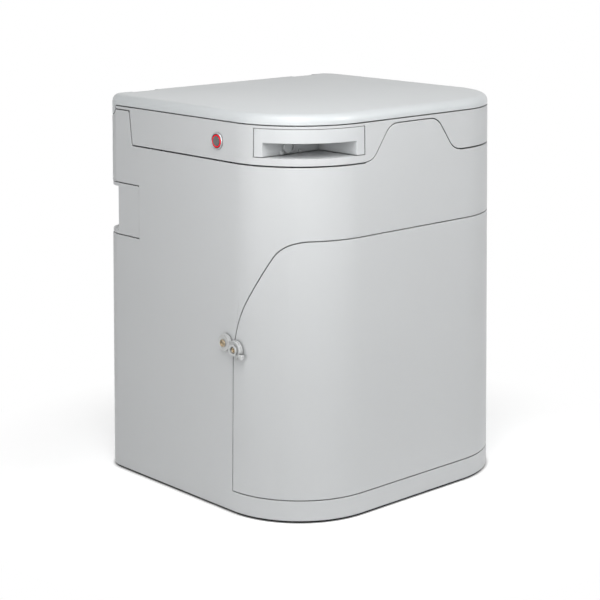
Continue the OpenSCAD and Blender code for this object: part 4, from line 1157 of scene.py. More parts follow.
@dataclass
class Latch(SubAssembly):
    """Hook latch with its pivot screw and the stud that it grips, in mm."""

    body: Body = Body.LATCH
    form: BodyForm = field(default_factory=BodyForm)
    pivot: Point = (-64.9, 209.5)
    stud: Point = (-83.4, 204.2)
    thickness: float = 4.5
    lobe_r: float = 11.0
    head_r: float = 11.5
    slot_r: float = 4.7
    hole_r: float = 2.56
    step: float = 2.2
    ledge: float = 0.9
    lip: Pair = (0.45, 0.4)
    bead: float = 1.0
    bead_rise: float = 0.6
    bead_foot: float = 0.05
    bead_start: float = 0.1
    foot_share: float = 0.6
    cell: float = 0.25
    cells_pulled: float = 1.5
    cells_kept: float = 0.35
    least_slope: float = 0.3
    field_low: Point = (-36.0, -18.5)
    field_size: Pair = (49.0, 31.0)
    tab: Point = (-95.8, 198.0)
    tab_half: float = 3.0
    tab_round: float = 1.1
    tab_rows: tuple[Pair, ...] = ((0.6, 1.0), (1.2, 0.92), (1.45, 0.72))
    bore_r: float = 1.9
    neck_r: float = 4.2
    collar_r: float = 6.9
    collar_high: float = 2.0
    cup_r: float = 4.0
    cup_deep: float = 2.5
    insert_r: float = 1.85
    insert_in: float = 3.3
    clear: float = 0.3
    shank: Pair = (12.0, 2.45)
    screw_r: float = 4.6
    screw_high: float = 1.5
    groove_size: Triple = (4.0, 7.3, 1.2)
    groove_floor: float = 0.5
    groove_turn: float = 28.0

    @property
    def back(self) -> float:
        """Distance of the latch's back from the middle."""
        return self.form.half_w(self.pivot[1] - 20.0) + 0.5

    @property
    def front(self) -> float:
        """Distance of the latch's face from the middle."""
        return self.back + self.thickness

    def outline_distance(self, u: float, v: float) -> float:
        """Gives the signed distance from a point to the latch's outline, negative inside.

        The outline is a lobe round the pivot and a head round the stud, less the pivot's hole, the stud's seat and the
        curved way in that the stud takes from below when the latch turns.

        Args:
            u: distance from the pivot towards the rear.
            v: height above the pivot.

        Returns:
            The distance in mm.
        """
        su, sv = self.stud[0] - self.pivot[0], self.stud[1] - self.pivot[1]
        from_pivot, from_stud, reach = math.hypot(u, v), math.hypot(u - su, v - sv), math.hypot(su, sv)
        above = (u * sv - v * su) / reach
        way_in = abs(from_pivot - reach) - self.slot_r if above < 0.0 or u > 0.0 else math.inf
        slot = min(from_stud - self.slot_r, way_in)
        return max(min(from_pivot - self.lobe_r, from_stud - self.head_r), -slot, self.hole_r - from_pivot)

    def relief(self, depth: float) -> float:
        """Gives the height of the face over the latch's back at a depth inside its outline.

        Args:
            depth: distance inside the outline in mm.

        Returns:
            The height in mm: a low outer step, a rounded bead and a sunk field.
        """
        wide, drop = self.lip
        if depth < self.ledge:
            return self.thickness - self.step - drop * (1 - min(depth / wide, 1.0)) ** 2
        inner = depth - self.ledge
        if inner <= self.bead_foot:
            return self.thickness - self.step * self.foot_share
        if inner < self.bead:
            swell = math.sin(math.pi * (self.bead_start + (1 - self.bead_start) * inner / self.bead))
            return self.thickness - self.bead_rise + self.bead_rise * swell
        return self.thickness - self.bead_rise

    def relief_spots(self) -> dict[tuple[int, int], Place]:
        """Lays a grid over the hook and pulls its outer corners onto the outline.

        Returns:
            Distances from the pivot and depth inside the outline, in mm, by the corner's column and row.
        """
        cell, nudge = self.cell, 0.01
        wide, tall = (round(size / cell) for size in self.field_size)
        spots = {}
        for i in range(wide):
            for j in range(tall):
                u, v = self.field_low[0] + i * cell, self.field_low[1] + j * cell
                near = self.outline_distance(u, v)
                if near > self.cells_pulled * cell:
                    continue
                if near > 0.0:
                    gu = (self.outline_distance(u + nudge, v) - near) / nudge
                    gv = (self.outline_distance(u, v + nudge) - near) / nudge
                    size = max(math.hypot(gu, gv), self.least_slope)
                    u, v = u - gu / size * near, v - gv / size * near
                spots[i, j] = (u, v, max(-near, 0.0))
        return spots

    def add_hook(self, bm: bmesh.types.BMesh) -> None:
        """Adds the hook's closed shell, a relief over the distance to its outline.

        Args:
            bm: the mesh under construction.
        """
        cell = self.cell
        low_u, low_v = self.field_low
        spots = self.relief_spots()
        y, z = self.pivot
        tops, backs = {}, {}
        for key, (u, v, depth) in spots.items():
            tops[key] = bm.verts.new(((-self.back - self.relief(depth)) * MM, (y + u) * MM, (z + v) * MM))
            backs[key] = bm.verts.new((-self.back * MM, (y + u) * MM, (z + v) * MM))
        cells = [
            (i, j)
            for (i, j) in spots
            if all(k in spots for k in ((i + 1, j), (i, j + 1), (i + 1, j + 1)))
            and self.outline_distance(low_u + (i + 0.5) * cell, low_v + (j + 0.5) * cell) < self.cells_kept * cell
        ]
        for i, j in cells:
            ring = ((i, j), (i + 1, j), (i + 1, j + 1), (i, j + 1))
            bm.faces.new([tops[k] for k in ring])
            bm.faces.new([backs[k] for k in reversed(ring)])
        twin = {v: k for k, v in tops.items()}
        for edge in [e for e in bm.edges if len(e.link_faces) == 1]:
            a, b = edge.verts
            if a in twin and b in twin:
                bm.faces.new((a, b, backs[twin[b]], backs[twin[a]]))
        bmesh.ops.delete(bm, geom=[v for v in bm.verts if not v.link_faces], context="VERTS")

    def add_tab(self, bm: bmesh.types.BMesh) -> None:
        """Adds the raised thumb tab.

        Args:
            bm: the mesh under construction.
        """
        y, z = self.tab
        half = self.tab_half
        plan = rounded_plan((y - half, z - half), (y + half, z + half), self.tab_round, 0.0, 4)
        rows = []
        for depth, scale in ((-self.back - 0.3, 0.8), *((-self.front - rise, share) for rise, share in self.tab_rows)):
            spot = [(y + (p - y) * scale, z + (q - z) * scale) for p, q in plan]
            rows.append([bm.verts.new((depth * MM, p * MM, q * MM)) for p, q in spot])
        skin(bm, rows)

    def build_hook(self) -> bpy.types.Object:
        """Builds the hook with its thumb tab.

        Returns:
            The new piece.
        """
        bm = bmesh.new()
        self.add_hook(bm)
        face_outwards(bm)
        self.add_tab(bm)
        face_outwards(bm)
        return new_piece("latch_hook_moulded", bm, 50.0)

    def build_stud(self) -> tuple[bpy.types.Object, bpy.types.Object]:
        """Builds the stud's pale collar and its brass insert.

        Returns:
            The collar and the insert.
        """
        y, z = self.stud
        face = self.form.half_w(z)
        root, tip = face - 0.2, face - self.insert_in
        head = self.front + self.clear
        rim, cup = head + self.collar_high, head - self.cup_deep
        collar = turned(
            "latch_stud_collar",
            [(root, self.bore_r), (root, self.neck_r), (head, self.neck_r), (head, self.collar_r),
             (rim, self.collar_r), (rim, 5.0), (head + 1.6, 4.3), (cup, self.cup_r), (cup, self.bore_r)],
            (0.0, y, z), OUT_LEFT, 0.45, closed=True,
        )
        insert = turned(
            "latch_stud_insert",
            [(tip, 0.0), (tip, self.insert_r), (cup, self.insert_r), (cup, self.cup_r - 0.3), (head - 0.4, 3.5),
             (head - 0.1, 3.2), (head - 0.4, 2.3), (head - 1.9, 1.9), (head - 1.9, 0.0)],
            (0.0, y, z), OUT_LEFT, 0.2,
        )
        return collar, insert

    def build_screw(self) -> bpy.types.Object:
        """Builds the slotted pivot screw.

        Returns:
            The new piece.
        """
        y, z = self.pivot
        head = self.front + self.clear
        rim = head + self.screw_high
        length, shank_r = self.shank
        tip = self.form.half_w(z) - length
        screw = turned(
            "latch_pivot_screw",
            [(tip, 0.0), (tip, shank_r), (head, shank_r), (head, self.screw_r), (head + 1.1, self.screw_r),
             (rim, 4.2), (rim, 3.9), (head + 0.35, 3.7), (head + 0.55, 0.0)],
            (0.0, y, z), OUT_LEFT, 0.2,
        )
        bm = bmesh.new()
        turn = Matrix.Rotation(math.radians(self.groove_turn), 4, "X")
        size = Matrix.Diagonal((*(side * MM for side in self.groove_size), 1.0))
        middle = head - self.groove_floor + self.groove_size[0] / 2
        place = Matrix.Translation((-middle * MM, y * MM, z * MM))
        bmesh.ops.create_cube(bm, size=1.0, matrix=place @ turn @ size)
        cutter = new_piece("slot_cutter", bm)
        cut = screw.modifiers.new("slot", "BOOLEAN")
        cut.object = cutter
        cut.solver = "EXACT"
        bake_modifiers(screw)
        bpy.data.objects.remove(cutter)
        smooth(screw, 35.0)
        return screw

    def build(self) -> None:
        """Builds and dresses the latch, its screw and its stud."""
        self.settle(self.build_hook(), Slot.LATCH, Finishes.LATCH, "latch_hook")
        self.body = Body.BASE
        self.settle(self.build_screw(), Slot.BRASS, Finishes.BRASS, "latch_screw")
        self.body = Body.DOOR
        collar, insert = self.build_stud()
        self.settle(collar, Slot.LATCH, Finishes.LATCH, "latch_stud")
        self.settle(insert, Slot.LATCH, Finishes.BRASS, "latch_stud")


@dataclass
class PushButton(SubAssembly):
    """Push button with a turned rim, a red ring and a dished cap, in mm."""

    body: Body = Body.HOUSING
    form: BodyForm = field(default_factory=BodyForm)
    centre: Point = (-46.7, 446.0)
    rim_r: float = 10.2
    ring_r: float = 8.7
    lit: Pair = (6.2, 7.35)
    cap_r: float = 5.9
    rim_high: float = 1.8
    ring_high: float = 1.75
    cap_high: float = 2.2
    cap_deep: float = 3.7
    well_deep: float = 6.0
    barrel_r: float = 8.0
    barrel_deep: float = 26.0
    nut_chamfer: float = 0.6
    wall: float = 4.3
    nut: float = 3.7

    @property
    def face(self) -> float:
        """Distance from the middle of the flat that the button sits on."""
        return self.form.half_w(self.centre[1] - self.rim_r)

    @property
    def origin(self) -> Place:
        """Middle of the button on that flat."""
        return (-self.face, *self.centre)

    @property
    def well(self) -> float:
        """Radius of the rim's well, in which the ring lies."""
        return self.ring_r + 0.1

    @property
    def gap(self) -> float:
        """Radius of the bore that the cap moves in."""
        return self.cap_r + 0.15

    def build_rim(self) -> bpy.types.Object:
        """Builds the rim with its barrel and the nut behind the wall.

        Returns:
            The new piece.
        """
        well, gap, top, end = self.well, self.gap, self.rim_high, -self.barrel_deep
        rim = turned(
            "button_rim",
            [(end, 0.0), (end, self.barrel_r), (0.0, self.barrel_r), (0.0, self.rim_r), (1.2, self.rim_r),
             (top, self.rim_r - 0.6), (top, well - 0.1), (1.5, well - 0.4), (0.1, well - 0.4), (0.1, gap),
             (-self.well_deep, gap), (-self.well_deep, 0.0)],
            self.origin, OUT_LEFT, 0.25,
        )
        bm = reopened(rim)
        back = self.face - self.form.half_w(self.centre[1]) - self.wall
        low, flat, chamfer = back - self.nut, self.rim_r + 1.0, self.nut_chamfer
        add_lathe(
            bm,
            [(back, self.barrel_r), (back, flat - chamfer), (back - chamfer, flat), (low + chamfer, flat),
             (low, flat - chamfer), (low, self.barrel_r)],
            self.origin, OUT_LEFT, steps=6, closed=True,
        )
        face_outwards(bm)
        return new_piece("button_rim", bm, 30.0)

    def build_ring(self) -> bpy.types.Object:
        """Builds the red ring.

        Returns:
            The new piece.
        """
        low, high = self.lit
        top = self.ring_high
        return turned(
            "button_light_ring",
            [(0.6, low), (0.6, high), (top - 0.25, high), (top, high - 0.25), (top, low + 0.25), (top - 0.25, low)],
            self.origin, OUT_LEFT, 0.2, closed=True,
        )

    def build_seat(self) -> bpy.types.Object:
        """Builds the dark seat under the ring.

        Returns:
            The new piece.
        """
        high = self.well - 0.45
        return turned(
            "button_ring_seat", [(0.15, self.gap), (0.15, high), (0.7, high), (0.7, self.gap)],
            self.origin, OUT_LEFT, 0.1, closed=True,
        )

    def build_cap(self) -> bpy.types.Object:
        """Builds the dished cap.

        Returns:
            The new piece.
        """
        end, top = -self.cap_deep, self.cap_high
        return turned(
            "button_cap_dished",
            [(end, 0.0), (end, self.cap_r), (1.9, self.cap_r), (top, self.cap_r - 0.6), (2.0, self.cap_r - 1.6),
             (1.6, 2.0), (1.55, 0.0)],
            self.origin, OUT_LEFT, 0.3,
        )

    def build(self) -> None:
        """Builds and dresses the button."""
        self.settle(self.build_rim(), Slot.STEEL, Finishes.RIM_STEEL, "button_body")
        self.settle(self.build_ring(), Slot.RING, Finishes.RING, "button_ring")
        self.settle(self.build_seat(), Slot.DARK, Finishes.DARK)
        self.body = Body.BUTTON
        self.settle(self.build_cap(), Slot.CAP, Finishes.CAP, "button_cap")


@dataclass
class UpperHousing(SubAssembly):
    """Tilting housing with its rails and rod guide."""

    body: Body = Body.HOUSING
    edge: float = 0.5

    def build(self) -> None:
        """Builds and dresses the housing."""
        self.soften("upper_housing", Slot.SHELL, Finishes.SHELL, self.edge)
        self.soften("gate_rails", Slot.SHELL, Finishes.INNER, 0.4)
        self.soften("rod_guide", Slot.DARK, Finishes.DARK, 0.5)


@dataclass
class SeatAndBowl(SubAssembly):
    """Seat ring and separating bowl."""

    body: Body = Body.HOUSING

    def build(self) -> None:
        """Builds and dresses the seat and the bowl."""
        self.soften("seat_ring", Slot.LID, Finishes.LID, 1.8, 4)
        self.soften("diverter_bowl", Slot.LID, Finishes.BOWL, 0.7, 3)


@dataclass
class PullHandle(SubAssembly):
    """Corner handle with its rod, bracket and the trap door that it draws."""

    body: Body = Body.GATE
    edge: float = 0.7
    boss: Place = (-146.6, -116.0, 441.4)
    boss_r: float = 6.2
    boss_high: float = 3.2
    boss_chamfer: float = 0.3

    def build(self) -> None:
        """Builds and dresses the handle and the trap door."""
        self.soften("pull_handle", Slot.LID, Finishes.HANDLE, self.edge)
        top, chamfer = self.boss_high, self.boss_chamfer
        boss = turned(
            "handle_pocket_boss",
            [(-1.0, 0.0), (-1.0, self.boss_r), (top - chamfer, self.boss_r), (top, self.boss_r - chamfer), (top, 0.0)],
            self.boss, OUT_FRONT, 0.15,
        )
        self.settle(boss, Slot.LID, Finishes.HANDLE)
        self.soften("gate_plate", Slot.BIN, Finishes.BIN, 0.6)
        self.soften("gate_bracket", Slot.STEEL, Finishes.STEEL, 0.5)
        self.refinish("pull_rod", Finishes.STEEL)


@dataclass
class Lid(SubAssembly):
    """Lid with its rubber bumpers."""

    body: Body = Body.LID
    edge: float = 0.6

    def build(self) -> None:
        """Builds and dresses the lid."""
        self.soften("lid", Slot.LID, Finishes.LID, self.edge)
        self.soften("lid_bumpers", Slot.RUBBER, Finishes.RUBBER, 0.15)


@dataclass
class SolidsBin(SubAssembly):
    """Bin with its seal, bushes, shaft and paddles."""

    def build(self) -> None:
        """Builds and dresses the bin and its agitator."""
        self.soften("solids_bin", Slot.BIN, Finishes.BIN, 1.0, 3)
        self.soften("bin_seal", Slot.RUBBER, Finishes.RUBBER, 0.4)
        self.soften("shaft_bushes", Slot.BUSH, Finishes.BUSH, 0.35)
        self.body = Body.AGITATOR
        self.soften("agitator_shaft", Slot.STEEL, Finishes.STEEL, 0.5)
        self.soften("agitator_paddles", Slot.STEEL, Finishes.STEEL, 0.8)


@dataclass
class UrineBottle(SubAssembly):
    """Blow-moulded bottle with rounded shoulders, a threaded neck and carry handles, in mm."""

    low: Point = (-135.0, -164.0)
    high: Point = (135.0, -54.0)
    radius: float = 40.0
    floor: float = 30.3
    top: float = 290.0
    neck: Place = (0.0, -114.0, 320.0)
    neck_r: float = 25.0
    wall: float = 2.5
    foot: float = 12.0
    shoulder: float = 16.0
    corner_steps: int = 7
    ribs: int = 9
    rib_start: float = 60.0
    rib_pitch: float = 16.0
    rib_depth: float = 0.7
    rib_width: float = 7.0
    rib_flank: float = 2.0
    thread_r: float = 0.8
    thread_rise: float = 6.4
    thread_turns: float = 1.8
    thread_drop: float = 9.6

    def ring(self, inset: float) -> list[Point]:
        """Gives the bottle's plan outline at an inset."""
        return rounded_plan(self.low, self.high, self.radius, inset)

    def circle(self, radius: float) -> list[Point]:
        """Gives a circle round the neck with as many points as the plan, in step with it.

        Args:
            radius: radius in mm.

        Returns:
            The points of the circle.
        """
        made = []
        for x, y in self.ring(0.0):
            a = math.atan2(y - self.neck[1], x - self.neck[0])
            made.append((self.neck[0] + radius * math.cos(a), self.neck[1] + radius * math.sin(a)))
        return made

    def corner(self, radius: float, inset: float, level: float, rise: int) -> list[tuple[list[Point], float]]:
        """Gives the rings of a rounded foot or shoulder, from the bottle's bottom upwards.

        Args:
            radius: radius of the rounding in mm.
            inset: distance of the wall from the outer plan in mm.
            level: height of the flat that it ends in, in mm.
            rise: 1 for a foot, which rises from the flat, and -1 for a shoulder.

        Returns:
            Outline and height in mm of each ring.
        """
        rings = []
        for step in range(self.corner_steps + 1):
            a = math.pi / 2 * step / self.corner_steps
            across, along = (math.sin(a), math.cos(a)) if rise > 0 else (math.cos(a), math.sin(a))
            rings.append((self.ring(inset + radius * (1 - across)), level + rise * radius * (1 - along)))
        return rings

    def neck_rings(self) -> list[tuple[list[Point], float]]:
        """Gives the rings of the neck, from the shoulder over the rim and down inside.

        Returns:
            Outline and height in mm of each ring.
        """
        outer, inner, z, top = self.neck_r, self.neck_r - self.wall, self.neck[2], self.top
        profile = (
            (outer + 6, top), (outer + 1.5, top + 1.2), (outer, top + 4), (outer, z - 14), (outer + 2, z - 13.6),
            (outer + 2, z - 11.9), (outer, z - 11.5), (outer - 0.9, z - 11), (outer - 0.9, z - 0.6), (outer - 1.4, z),
            (outer - 2, z), (inner, z - 0.6), (inner, top - self.wall + 0.8), (inner + 1, top - self.wall),
        )
        return [(self.circle(radius), height) for radius, height in profile]

    def build_bottle(self) -> bpy.types.Object:
        """Builds the hollow bottle as one closed shell.

        Returns:
            The new piece.
        """
        wall = self.wall
        rings = self.corner(self.foot, 0.0, self.floor, 1)
        width, flank, deep = self.rib_width, self.rib_flank, self.rib_depth
        for rib in range(self.ribs):
            z = self.floor + self.rib_start + rib * self.rib_pitch
            for shift, inset in ((0.0, 0.0), (flank, deep), (width - flank, deep), (width, 0.0)):
                rings.append((self.ring(inset), z + shift))
        rings += self.corner(self.shoulder, 0.0, self.top, -1)
        rings += self.neck_rings()
        rings += self.corner(self.shoulder - wall, wall, self.top - wall, -1)[::-1]
        rings += self.corner(self.foot - wall, wall, self.floor + wall, 1)[::-1]
        bm = bmesh.new()
        skin(bm, [[bm.verts.new((x * MM, y * MM, z * MM)) for x, y in plan] for plan, z in rings])
        bmesh.ops.remove_doubles(bm, verts=bm.verts, dist=1e-6)
        face_outwards(bm)
        return new_piece("urine_bottle_blown", bm, 50.0)

    @staticmethod
    def thread_tree() -> Tree:
        """Builds the tree of a thread along a spiral curve.

        Returns:
            The tree.
        """
        tree, come = geometry_tree(
            "neck thread",
            {
                "Radius": ("Float", 0.024), "Rise": ("Float", 0.008), "Turns": ("Float", 2.0),
                "Section": ("Float", 0.0008), "Place": ("Vector", None),
            },
        )
        spiral = tree.first(
            "GeometryNodeCurveSpiral",
            {
                "Resolution": 64, "Rotations": come.outputs["Turns"], "Start Radius": come.outputs["Radius"],
                "End Radius": come.outputs["Radius"], "Height": come.outputs["Rise"],
            },
        )
        section = tree.first(
            "GeometryNodeCurvePrimitiveCircle", {"Resolution": 10, "Radius": come.outputs["Section"]}
        )
        mesh = tree.first("GeometryNodeCurveToMesh", {0: spiral, "Profile Curve": section, "Fill Caps": True})
        moved = tree.first("GeometryNodeTransform", {"Geometry": mesh, "Translation": come.outputs["Place"]})
        end_tree(tree, moved, Finishes.BOTTLE)
        return tree

    def build_thread(self) -> bpy.types.Object:
        """Builds the neck's thread.

        Returns:
            The new piece.
        """
        return grow(
            "urine_bottle_thread", self.thread_tree(),
            {
                "Radius": (self.neck_r - self.thread_r) * MM, "Rise": self.thread_rise * MM, "Turns": self.thread_turns,
                "Section": self.thread_r * MM,
                "Place": (self.neck[0] * MM, self.neck[1] * MM, (self.neck[2] - self.thread_drop) * MM),
            },
        )

    def build(self) -> None:
        """Builds and dresses the bottle."""
        self.settle(self.build_bottle(), Slot.BOTTLE, Finishes.BOTTLE, "urine_bottle")
        self.settle(self.build_thread(), Slot.BOTTLE, Finishes.BOTTLE)
        self.refinish("bottle_handle", Finishes.BOTTLE)


@dataclass
class Vent(SubAssembly):
    """Vent plates, hose port with its woven screen, and the fan, in mm."""

    form: BodyForm = field(default_factory=BodyForm)
    centre: Point = (124.0, 341.5)
    port_depth: float = 12.0
    screen_r: float = 17.6
    screen_in: float = 0.75
    mesh_pitch: float = 1.6
    wire_r: float = 0.17
    blades: int = 7
    hub_r: float = 7.6
    hub_cover_r: float = 8.0
    hub_bore_r: float = 1.56
    hub_nose: float = 1.4
    tip_r: float = 17.4
    chord: float = 7.0
    blade_thick: float = 1.1
    camber: float = -0.45
    blade_turn: Pair = (0.55, -20.0)
    rotor_gap: float = 5.8
    rotor_length: float = 9.0
    blade_start: float = 4.4

    @property
    def port_in(self) -> float:
        """Distance of the port's inner end from the middle."""
        return self.form.half_w(self.centre[1]) - self.port_depth

    @staticmethod
    def screen_tree() -> Tree:
        """Builds the tree of a round screen, woven from waving wires.

        Returns:
            The tree.
        """
        tree, come = geometry_tree(
            "woven screen",
            {
                "Radius": ("Float", 0.018), "Pitch": ("Float", 0.0016), "Wire": ("Float", 0.0002),
                "Place": ("Vector", None),
            },
        )
        radius, pitch, thick = come.outputs["Radius"], come.outputs["Pitch"], come.outputs["Wire"]
        count = tree.calc("FLOOR", tree.calc("DIVIDE", radius, pitch))
        span = tree.calc("MULTIPLY", count, pitch)
        total = tree.calc("MULTIPLY_ADD", count, 2.0, 1.0)
        start = tree.first("ShaderNodeCombineXYZ", {"Y": tree.calc("MULTIPLY", span, -1.0)})
        step = tree.first("ShaderNodeCombineXYZ", {"Y": pitch})
        row = tree.first("GeometryNodeMeshLine", {"Count": total, "Start Location": start, "Offset": step})
        ends = {"Start": (0.0, 0.0, -1.0), "End": (0.0, 0.0, 1.0)}
        wire = tree.first("GeometryNodeCurvePrimitiveLine", ends)
        where = tree.first("GeometryNodeInputPosition")
        t = tree.add("ShaderNodeSeparateXYZ", {0: where}).outputs["Y"]
        free = tree.calc("SUBTRACT", tree.calc("MULTIPLY", radius, radius), tree.calc("MULTIPLY", t, t))
        chord = tree.calc("SQRT", tree.calc("MAXIMUM", free, 1e-8))
        scale = tree.first("ShaderNodeCombineXYZ", {"X": 1.0, "Y": 1.0, "Z": chord})
        placed = tree.first("GeometryNodeInstanceOnPoints", {"Points": row, "Instance": wire, "Scale": scale})
        real = tree.first("GeometryNodeRealizeInstances", {0: placed})
        fine = tree.first("GeometryNodeResampleCurve", {"Curve": real, "Count": 80})
        parts = tree.add("ShaderNodeSeparateXYZ", {0: where}).outputs
        phase = [
            tree.calc("COSINE", tree.calc("DIVIDE", tree.calc("MULTIPLY", parts[k], math.pi), pitch)) for k in "YZ"
        ]
        lift = tree.calc("MULTIPLY", tree.calc("MULTIPLY", phase[0], phase[1]), thick)
        offset = tree.first("ShaderNodeCombineXYZ", {"X": lift})
        waved = tree.first("GeometryNodeSetPosition", {"Geometry": fine, "Offset": offset})
        section = tree.first("GeometryNodeCurvePrimitiveCircle", {"Resolution": 5, "Radius": thick})
        mesh = tree.first("GeometryNodeCurveToMesh", {0: waved, "Profile Curve": section, "Fill Caps": True})
        crossed = tree.first(
            "GeometryNodeTransform", {"Geometry": mesh, "Rotation": (math.pi / 2, 0.0, 0.0), "Scale": (-1.0, 1.0, 1.0)}
        )
        crossed = tree.first("GeometryNodeFlipFaces", {0: crossed})
        moved = tree.first(
            "GeometryNodeTransform", {"Geometry": tree.join(mesh, crossed), "Translation": come.outputs["Place"]}
        )
        end_tree(tree, moved, Finishes.WIRE_STEEL)
        return tree

    def build_screen(self) -> bpy.types.Object:
        """Builds the insect screen inside the port.

        Returns:
            The new piece.
        """
        place = ((self.port_in - self.screen_in) * MM, self.centre[0] * MM, self.centre[1] * MM)
        return grow(
            "insect_screen_weave", self.screen_tree(),
            {"Radius": self.screen_r * MM, "Pitch": self.mesh_pitch * MM, "Wire": self.wire_r * MM, "Place": place},
            crease=60.0,
        )

    def blade_tree(self) -> Tree:
        """Builds the tree of twisted blades round an axis.

        Returns:
            The tree.
        """
        tree, come = geometry_tree(
            "fan blades",
            {
                "Count": ("Int", 7), "Hub": ("Float", 0.0076), "Tip": ("Float", 0.0174), "Chord": ("Float", 0.007),
                "Thickness": ("Float", 0.001), "Pitch": ("Float", 0.6), "Twist": ("Float", 18.0),
                "Place": ("Vector", None),
            },
        )
        size = come.outputs
        span = tree.calc("SUBTRACT", size["Tip"], size["Hub"])
        blade = tree.first(
            "GeometryNodeMeshGrid", {"Size X": size["Chord"], "Size Y": span, "Vertices X": 9, "Vertices Y": 9}
        )
        where = tree.first("GeometryNodeInputPosition")
        parts = tree.add("ShaderNodeSeparateXYZ", {0: where}).outputs
        across = tree.calc("DIVIDE", parts["X"], size["Chord"])
        bulge = tree.calc("MULTIPLY", tree.calc("MULTIPLY", across, across), size["Chord"])
        camber = tree.calc("MULTIPLY", bulge, self.camber)
        radial = tree.calc("MULTIPLY_ADD", span, 0.5, tree.calc("ADD", parts["Y"], size["Hub"]))
        curved = tree.first("ShaderNodeCombineXYZ", {"X": parts["X"], "Y": camber, "Z": radial})
        shaped = tree.first("GeometryNodeSetPosition", {"Geometry": blade, "Position": curved})
        angle = tree.calc("MULTIPLY_ADD", parts["Z"], size["Twist"], size["Pitch"])
        place = tree.first(
            "ShaderNodeVectorRotate", {"Vector": where, "Axis": (0.0, 0.0, 1.0), "Angle": angle},
            rotation_type="AXIS_ANGLE",
        )
        twisted = tree.first("GeometryNodeSetPosition", {"Geometry": shaped, "Position": place})
        solid = tree.add(
            "GeometryNodeExtrudeMesh", {"Mesh": twisted, "Offset Scale": size["Thickness"], "Individual": False}
        )
        under = tree.first("GeometryNodeFlipFaces", {0: twisted})
        whole = tree.join(solid.outputs["Mesh"], under)
        points = tree.first("GeometryNodePoints", {"Count": size["Count"]})
        index = tree.first("GeometryNodeInputIndex")
        step = tree.calc("DIVIDE", tree.calc("MULTIPLY", index, math.tau), size["Count"])
        turn = tree.first("ShaderNodeCombineXYZ", {"X": step})
        placed = tree.first(
            "GeometryNodeInstanceOnPoints", {"Points": points, "Instance": whole, "Rotation": turn}
        )
        real = tree.first("GeometryNodeRealizeInstances", {0: placed})
        moved = tree.first("GeometryNodeTransform", {"Geometry": real, "Translation": size["Place"]})
        end_tree(tree, moved, Finishes.DARK)
        return tree

    def build_rotor(self) -> bpy.types.Object:
        """Builds the fan's hub and blades.

        Returns:
            The new piece.
        """
        x1 = self.port_in - self.rotor_gap
        x0 = x1 - self.rotor_length
        y, z = self.centre
        pitch, twist = self.blade_turn
        blades = grow(
            "fan_rotor_blades", self.blade_tree(),
            {
                "Count": self.blades, "Hub": self.hub_r * MM, "Tip": self.tip_r * MM, "Chord": self.chord * MM,
                "Thickness": self.blade_thick * MM, "Pitch": pitch, "Twist": twist,
                "Place": ((x0 + self.blade_start) * MM, y * MM, z * MM),
            },
            crease=50.0,
        )
        bm = bmesh.new()
        bore, cover, nose = self.hub_bore_r, self.hub_cover_r, self.hub_nose
        profile = [(x0, bore), (x0, cover - nose), (x0 + nose, cover), (x1, cover), (x1, bore)]
        add_lathe(bm, filleted(profile, 0.5), (0.0, y, z), OUT_X, closed=True)
        face_outwards(bm)
        bm.from_mesh(blades.data)
        bpy.data.objects.remove(blades)
        return new_piece("fan_rotor_moulded", bm, 45.0)

    def build(self) -> None:
        """Builds and dresses the vent."""
        self.soften("vent_blank_plate", Slot.SHELL, Finishes.SHELL, 0.4)
        self.soften("vent_port", Slot.SHELL, Finishes.SHELL, 0.4)
        self.soften("fan_frame", Slot.DARK, Finishes.DARK, 0.35)
        self.settle(self.build_screen(), Slot.STEEL, Finishes.WIRE_STEEL, "insect_screen")
        self.body = Body.FAN
        self.settle(self.build_rotor(), Slot.DARK, Finishes.DARK, "fan_rotor")


@dataclass
class Drive(SubAssembly):
    """Gearbox, motor, controls and leads, in mm."""

    lead_r: float = 2.0
    lead_y: float = 140.0
    lead_z: float = 230.0
    lead_x: float = 124.0
    fan_x: float = 150.0
    fan_z: float = 321.7
    inlet_z: float = 60.0
    inlet_y: float = 169.7
    box_end: float = 61.5
    bend: float = 9.0

    def build_leads(self) -> bpy.types.Object:
        """Builds the leads from the control box to the fan and the power inlet.

        Returns:
            The new piece.
        """
        bm = bmesh.new()
        x, y, z = self.lead_x, self.lead_y, self.lead_z
        up = [(self.box_end, y, z), (self.fan_x, y, z), (self.fan_x, y, self.fan_z)]
        down = [(x, y, z - 0.6), (x, y, self.inlet_z), (x, self.inlet_y, self.inlet_z)]
        for corners in (up, down):
            add_tube(bm, bent_path(corners, self.bend), self.lead_r)
        face_outwards(bm)
        return new_piece("leads_sheathed", bm, 50.0)

    def build(self) -> None:
        """Builds and dresses the drive and the controls."""
        self.soften("drive_bracket", Slot.STEEL, Finishes.STEEL, 0.5)
        self.soften("drive_gearbox", Slot.DARK, Finishes.GEARBOX, 1.2, 3)
        self.soften("drive_motor", Slot.STEEL, Finishes.STEEL, 0.9, 3)
        self.soften("control_box", Slot.DARK, Finishes.DARK, 1.0, 3)
        self.soften("circuit_board", Slot.CIRCUIT, Finishes.CIRCUIT, 0.25)
        self.soften("power_inlet", Slot.DARK, Finishes.DARK, 0.5)
        self.soften("level_sensor", Slot.DARK, Finishes.DARK, 0.5)
        self.settle(self.build_leads(), Slot.DARK, Finishes.RUBBER, "wiring")
        self.body = Body.COUPLING
        self.soften("motor_coupling", Slot.DARK, Finishes.DARK, 0.6)


